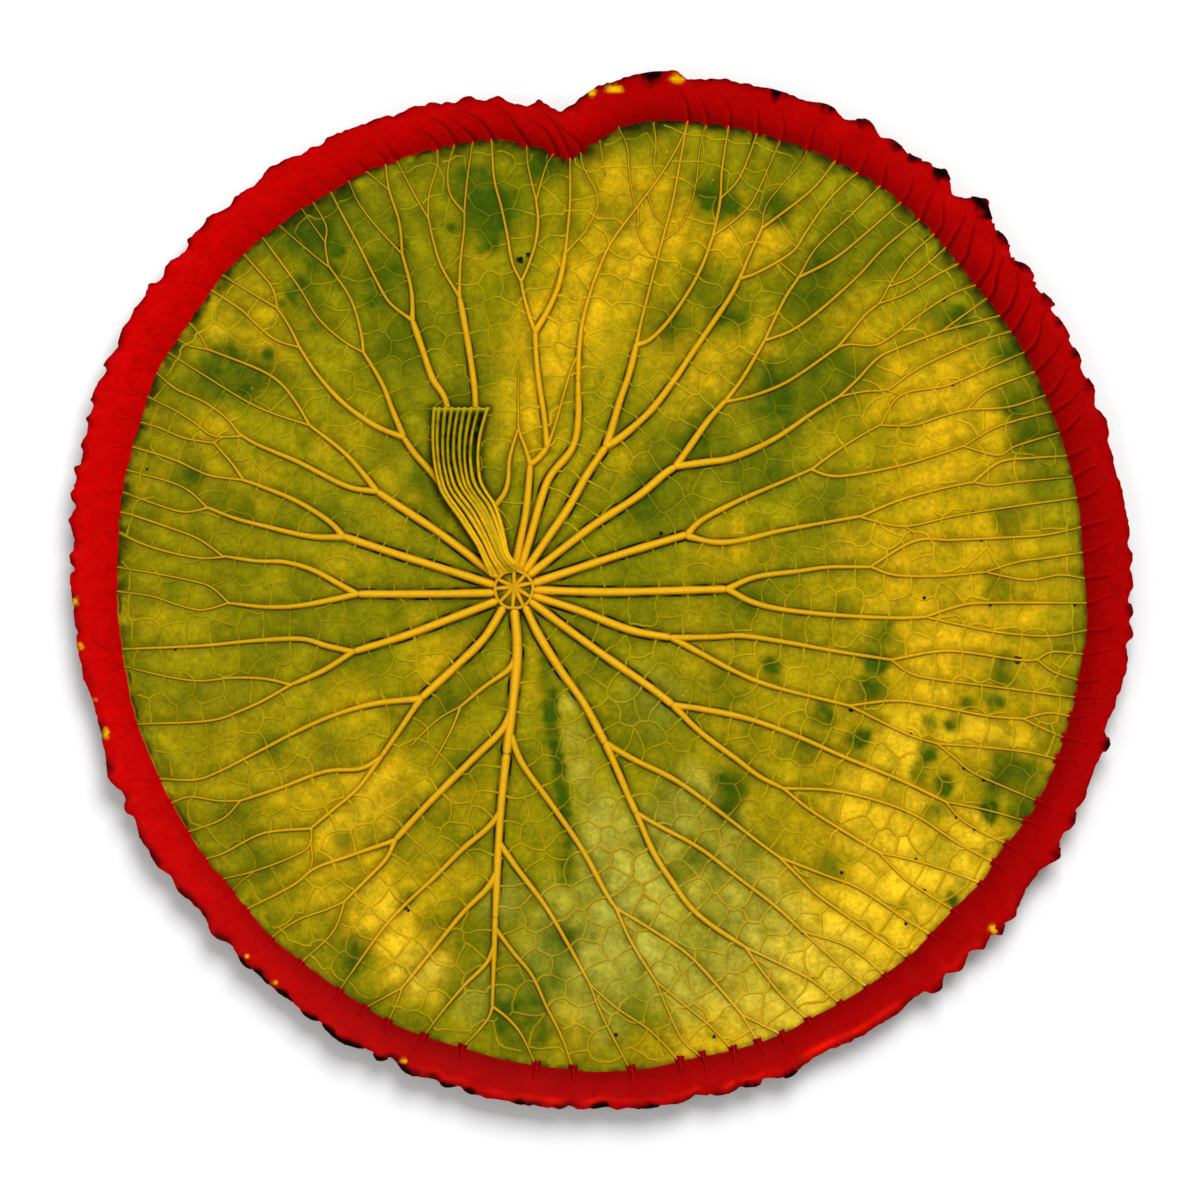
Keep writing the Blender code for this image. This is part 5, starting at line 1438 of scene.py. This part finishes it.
def make_blade(vein_tree, vein_widths, net_tree, cell_tree, cell_tones):
    """The whole blade: its domed veined side, its down side and the thin margin between."""
    outline = ragged_outline()
    turn, radii = polar(CREASE_LINE)
    rings = [from_polar(turn, radii + ring) for ring in CREASE_RINGS]
    top, top_faces, top_loop = triangulate(
        outline, CREASE_LINE, np.vstack([side_points(TOP_STEP, RIM_STEP)] + rings))
    down, down_faces, down_loop = triangulate(
        outline, CREASE_LINE[::2], side_points(DOWN_STEP, DOWN_STEP))
    down_faces = down_faces[:, ::-1]

    share = rim_share(top)
    near, gap = nearest(vein_tree, top)
    edge_gap = np.maximum(gap - vein_widths[near] / 2, 0.0)
    dome = 1 - bell(np.minimum(edge_gap, nearest(net_tree, top)[1]), DOME_REACH)
    domed = DOME_HEIGHT * (dome - 0.35) - 0.00012 * bell(edge_gap, 0.0009)
    height = blade_top(top) + np.where(share <= 0.0, domed, RIM_LIFT * np.minimum(share * 12, 1.0))
    top_points = np.column_stack([top, height + rim_relief(top)])
    down_gap = nearest(vein_tree, down)[1]
    down_points = np.column_stack([down, down_height(down, down_gap)])
    down_points[down_loop] = top_points[top_loop] - (0.0, 0.0, MARGIN_THICKNESS)

    here, there = np.array(top_loop), np.array(down_loop) + len(top)
    next_here, next_there = np.roll(here, -1), np.roll(there, -1)
    walls = np.vstack([np.column_stack([here, there, next_there]),
                       np.column_stack([here, next_there, next_here])])
    faces = np.vstack([top_faces, down_faces + len(top), walls])

    tone = cell_tones[nearest(cell_tree, top)[0]]
    lamina_tint = lamina_colour(top, tone, dome, edge_gap, vein_widths[near])
    rim_tint = margin_colour(top, rim_colour(top))
    rim_tint = blend(rim_tint, SPECK, spots(top, RIM_SPECKS, 0.0003) * 1.5)
    down_tint = down_colour(down, down_gap)
    # Painted shade: the thin wall round the margin a little darker
    wall_tint = np.vstack([rim_tint, down_tint]) * 0.85
    on_lamina = rim_share(top[top_faces].mean(1)) <= 0.0
    top_tint = np.where(np.repeat(on_lamina, 3)[:, None],
                        lamina_tint[top_faces.ravel()], rim_tint[top_faces.ravel()])
    tints = np.vstack([top_tint, down_tint[down_faces.ravel()], wall_tint[walls.ravel()]])
    under_lamina = rim_share(down[down_faces].mean(1)) <= 0.0
    slots = np.concatenate([
        np.where(on_lamina, 0, 1), np.where(under_lamina, 2, 1), np.ones(len(walls))])
    return new_mesh("blade", np.vstack([top_points, down_points]), faces.tolist(), tints,
                    "CORNER", slots)


def feed(tree, socket, value):
    """Set a shader socket to a value, or link another node's output to it."""
    if isinstance(value, bpy.types.NodeSocket):
        tree.links.new(value, socket)
    else:
        socket.default_value = value


def add_node(tree, kind, settings, **inputs):
    """A shader node with its settings and its inputs, named with _ for each space."""
    node = tree.nodes.new("ShaderNode" + kind)
    for name, value in settings.items():
        setattr(node, name, value)
    for name, value in inputs.items():
        feed(tree, node.inputs[name.replace("_", " ")], value)
    return node


def ranged(tree, value, source, target):
    """A value carried over from one range to another."""
    node = add_node(tree, "MapRange", {}, Value=value, From_Min=source[0], From_Max=source[1],
                    To_Min=target[0], To_Max=target[1])
    return node.outputs["Result"]


def calculated(tree, operation, first, second):
    """The result of a calculation with two values."""
    node = add_node(tree, "Math", {"operation": operation})
    feed(tree, node.inputs[0], first)
    feed(tree, node.inputs[1], second)
    return node.outputs["Value"]


def scaled(tree, colour, factor):
    """A colour made lighter or darker by a factor."""
    node = add_node(tree, "VectorMath", {"operation": "SCALE"}, Scale=factor)
    feed(tree, node.inputs[0], colour)
    return node.outputs["Vector"]


def mixed(tree, factor, first, second):
    """One colour laid over another."""
    node = add_node(tree, "Mix", {"data_type": "RGBA"}, Factor=factor, A=first, B=second)
    return node.outputs["Result"]


def leaf_material(name, roughness, grain_scale, grain, bump, coat=0.0):
    """A material that takes its colour from the tint, with fine grain and bump."""
    made = bpy.data.materials.new(name)
    made.use_nodes = True
    tree = made.node_tree
    tint = add_node(tree, "VertexColor", {"layer_name": "tint"}).outputs["Color"]
    where = add_node(tree, "TexCoord", {}).outputs["Object"]
    fine = add_node(tree, "TexNoise", {}, Vector=where, Scale=grain_scale, Detail=5.0,
                    Roughness=0.8).outputs["Fac"]
    light = ranged(tree, fine, (0.36, 0.64), (1.0 - grain, 1.0 + grain))
    relief = add_node(tree, "Bump", {}, Strength=bump, Distance=0.0003, Height=fine)
    values = {
        "Base Color": scaled(tree, tint, light),
        "Roughness": ranged(tree, fine, (0.0, 1.0), (roughness - 0.1, roughness + 0.12)),
        "Normal": relief.outputs["Normal"],
        "Metallic": 0.0,
        "Specular IOR Level": SPECULAR_LEVEL,
        "Coat Weight": coat,
        "Coat Roughness": 0.35,
    }
    for socket, value in values.items():
        feed(tree, tree.nodes["Principled BSDF"].inputs[socket], value)
    return made


def add_marks(material):
    """Dark green smudges, a light and dark grain and small yellow flecks over a colour."""
    tree = material.node_tree
    base = tree.nodes["Principled BSDF"].inputs["Base Color"]
    where = add_node(tree, "TexCoord", {}).outputs["Object"]
    noise = add_node(tree, "TexNoise", {}, Vector=where, Scale=330.0, Detail=6.0,
                     Roughness=0.72).outputs["Fac"]
    smudge = ranged(tree, noise, (0.50, 0.68), (0.0, 0.34))
    glow = ranged(tree, noise, (0.30, 0.56), (1.16, 0.98))
    smudged = mixed(tree, smudge, base.links[0].from_socket, (*SMUDGE, 1.0))
    cells = add_node(tree, "TexVoronoi", {}, Vector=where, Scale=260.0)
    size = add_node(tree, "SeparateColor", {}, Color=cells.outputs["Color"]).outputs["Red"]
    reach = ranged(tree, size, (0.80, 1.0), (0.0, 0.10))
    near = calculated(tree, "LESS_THAN", cells.outputs["Distance"], reach)
    weak = calculated(tree, "MULTIPLY", near, 0.40)
    feed(tree, base, mixed(tree, weak, scaled(tree, smudged, glow), (*FLECK, 1.0)))


def finish_piece(piece, materials, node):
    """Give a piece its materials, set what it rides on, and hide the part that it replaces."""
    for each in materials:
        piece.data.materials.append(each)
    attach(piece, "root")
    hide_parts(node)


def make_stage():
    """A plain pale floor."""
    bpy.ops.mesh.primitive_plane_add(size=FLOOR_SIZE, location=(0.0, 0.0, -0.0001))
    floor = bpy.context.object
    floor.name = "floor"
    paper = bpy.data.materials.new("floor")
    paper.use_nodes = True
    shader = paper.node_tree.nodes["Principled BSDF"]
    shader.inputs["Base Color"].default_value = (0.96, 0.96, 0.96, 1.0)
    shader.inputs["Roughness"].default_value = 0.9
    shader.inputs["Specular IOR Level"].default_value = 0.1
    floor.data.materials.append(paper)


def make_camera():
    """A camera that looks straight down on the pad."""
    lens = bpy.data.cameras.new("camera")
    lens.sensor_width = SENSOR_WIDTH
    lens.lens = SENSOR_WIDTH * CAMERA_HEIGHT / (VIEW_WIDTH_SQUARES * SQUARE)
    lens.clip_end = 20.0
    camera = bpy.data.objects.new("camera", lens)
    camera.location = (*place(VIEW_MIDDLE_SQUARE), CAMERA_LEVEL + CAMERA_HEIGHT)
    bpy.context.scene.collection.objects.link(camera)
    bpy.context.scene.camera = camera


def add_area_light(name, location, size, power):
    """A soft square light turned to the leaf's middle."""
    data = bpy.data.lights.new(name, "AREA")
    data.size = size
    data.energy = power
    lamp = bpy.data.objects.new(name, data)
    lamp.location = location
    target = Vector((MIDDLE[0], MIDDLE[1], 0.0))
    lamp.rotation_euler = (target - Vector(location)).to_track_quat("-Z", "Y").to_euler()
    bpy.context.scene.collection.objects.link(lamp)


def make_light():
    """Light mostly from the top right, with a weak fill and a pale surround."""
    add_area_light("key", (0.30, 0.80, 1.35), 0.80, KEY_POWER)
    add_area_light("fill", (-0.9, -0.5, 1.4), 1.2, FILL_POWER)
    world = bpy.data.worlds.new("studio")
    world.use_nodes = True
    back = world.node_tree.nodes["Background"]
    back.inputs["Color"].default_value = (1.0, 1.0, 1.0, 1.0)
    back.inputs["Strength"].default_value = WORLD_STRENGTH
    bpy.context.scene.world = world
    bpy.context.scene.view_settings.view_transform = "Standard"


def main():
    """Build every piece, then the stage, the camera and the light."""
    veins = all_veins()
    vein_widths = np.concatenate([widths for _, widths in veins])
    vein_tree = tree_of(np.vstack([line for line, _ in veins]))
    seeds = network_seeds(veins, vein_tree)
    lines = network_lines(seeds, vein_tree, vein_widths)
    net_tree = tree_of(np.vstack(lines))
    cell_tones = np.random.default_rng(9).uniform(-1.0, 1.0, len(seeds))

    lamina = leaf_material("leaf lamina", 0.48, 900.0, 0.20, 0.25)
    add_marks(lamina)
    rim = leaf_material("red rim", 0.5, 700.0, 0.10, 0.3)
    down = leaf_material("leaf down side", 0.35, 600.0, 0.15, 0.2, coat=0.2)
    gold = leaf_material("golden vein", 0.42, 1200.0, 0.12, 0.2)
    net = leaf_material("fine vein", 0.48, 1200.0, 0.10, 0.15)
    stub = leaf_material("stalk skin", 0.42, 1400.0, 0.14, 0.25)

    blade = make_blade(vein_tree, vein_widths, net_tree, tree_of(seeds), cell_tones)
    for piece, materials in ((blade, (lamina, rim, down)), (make_vein_strips(veins), (gold,)),
                             (make_network(lines), (net,)), (make_rim_veins(veins), (rim,)),
                             (make_hub(), (gold,)), (make_curls(), (rim,)),
                             (make_pits(), (lamina,))):
        finish_piece(piece, materials, "pad")
    finish_piece(make_stalk(), (stub,), "stalk")
    make_stage()
    make_camera()
    make_light()


main()
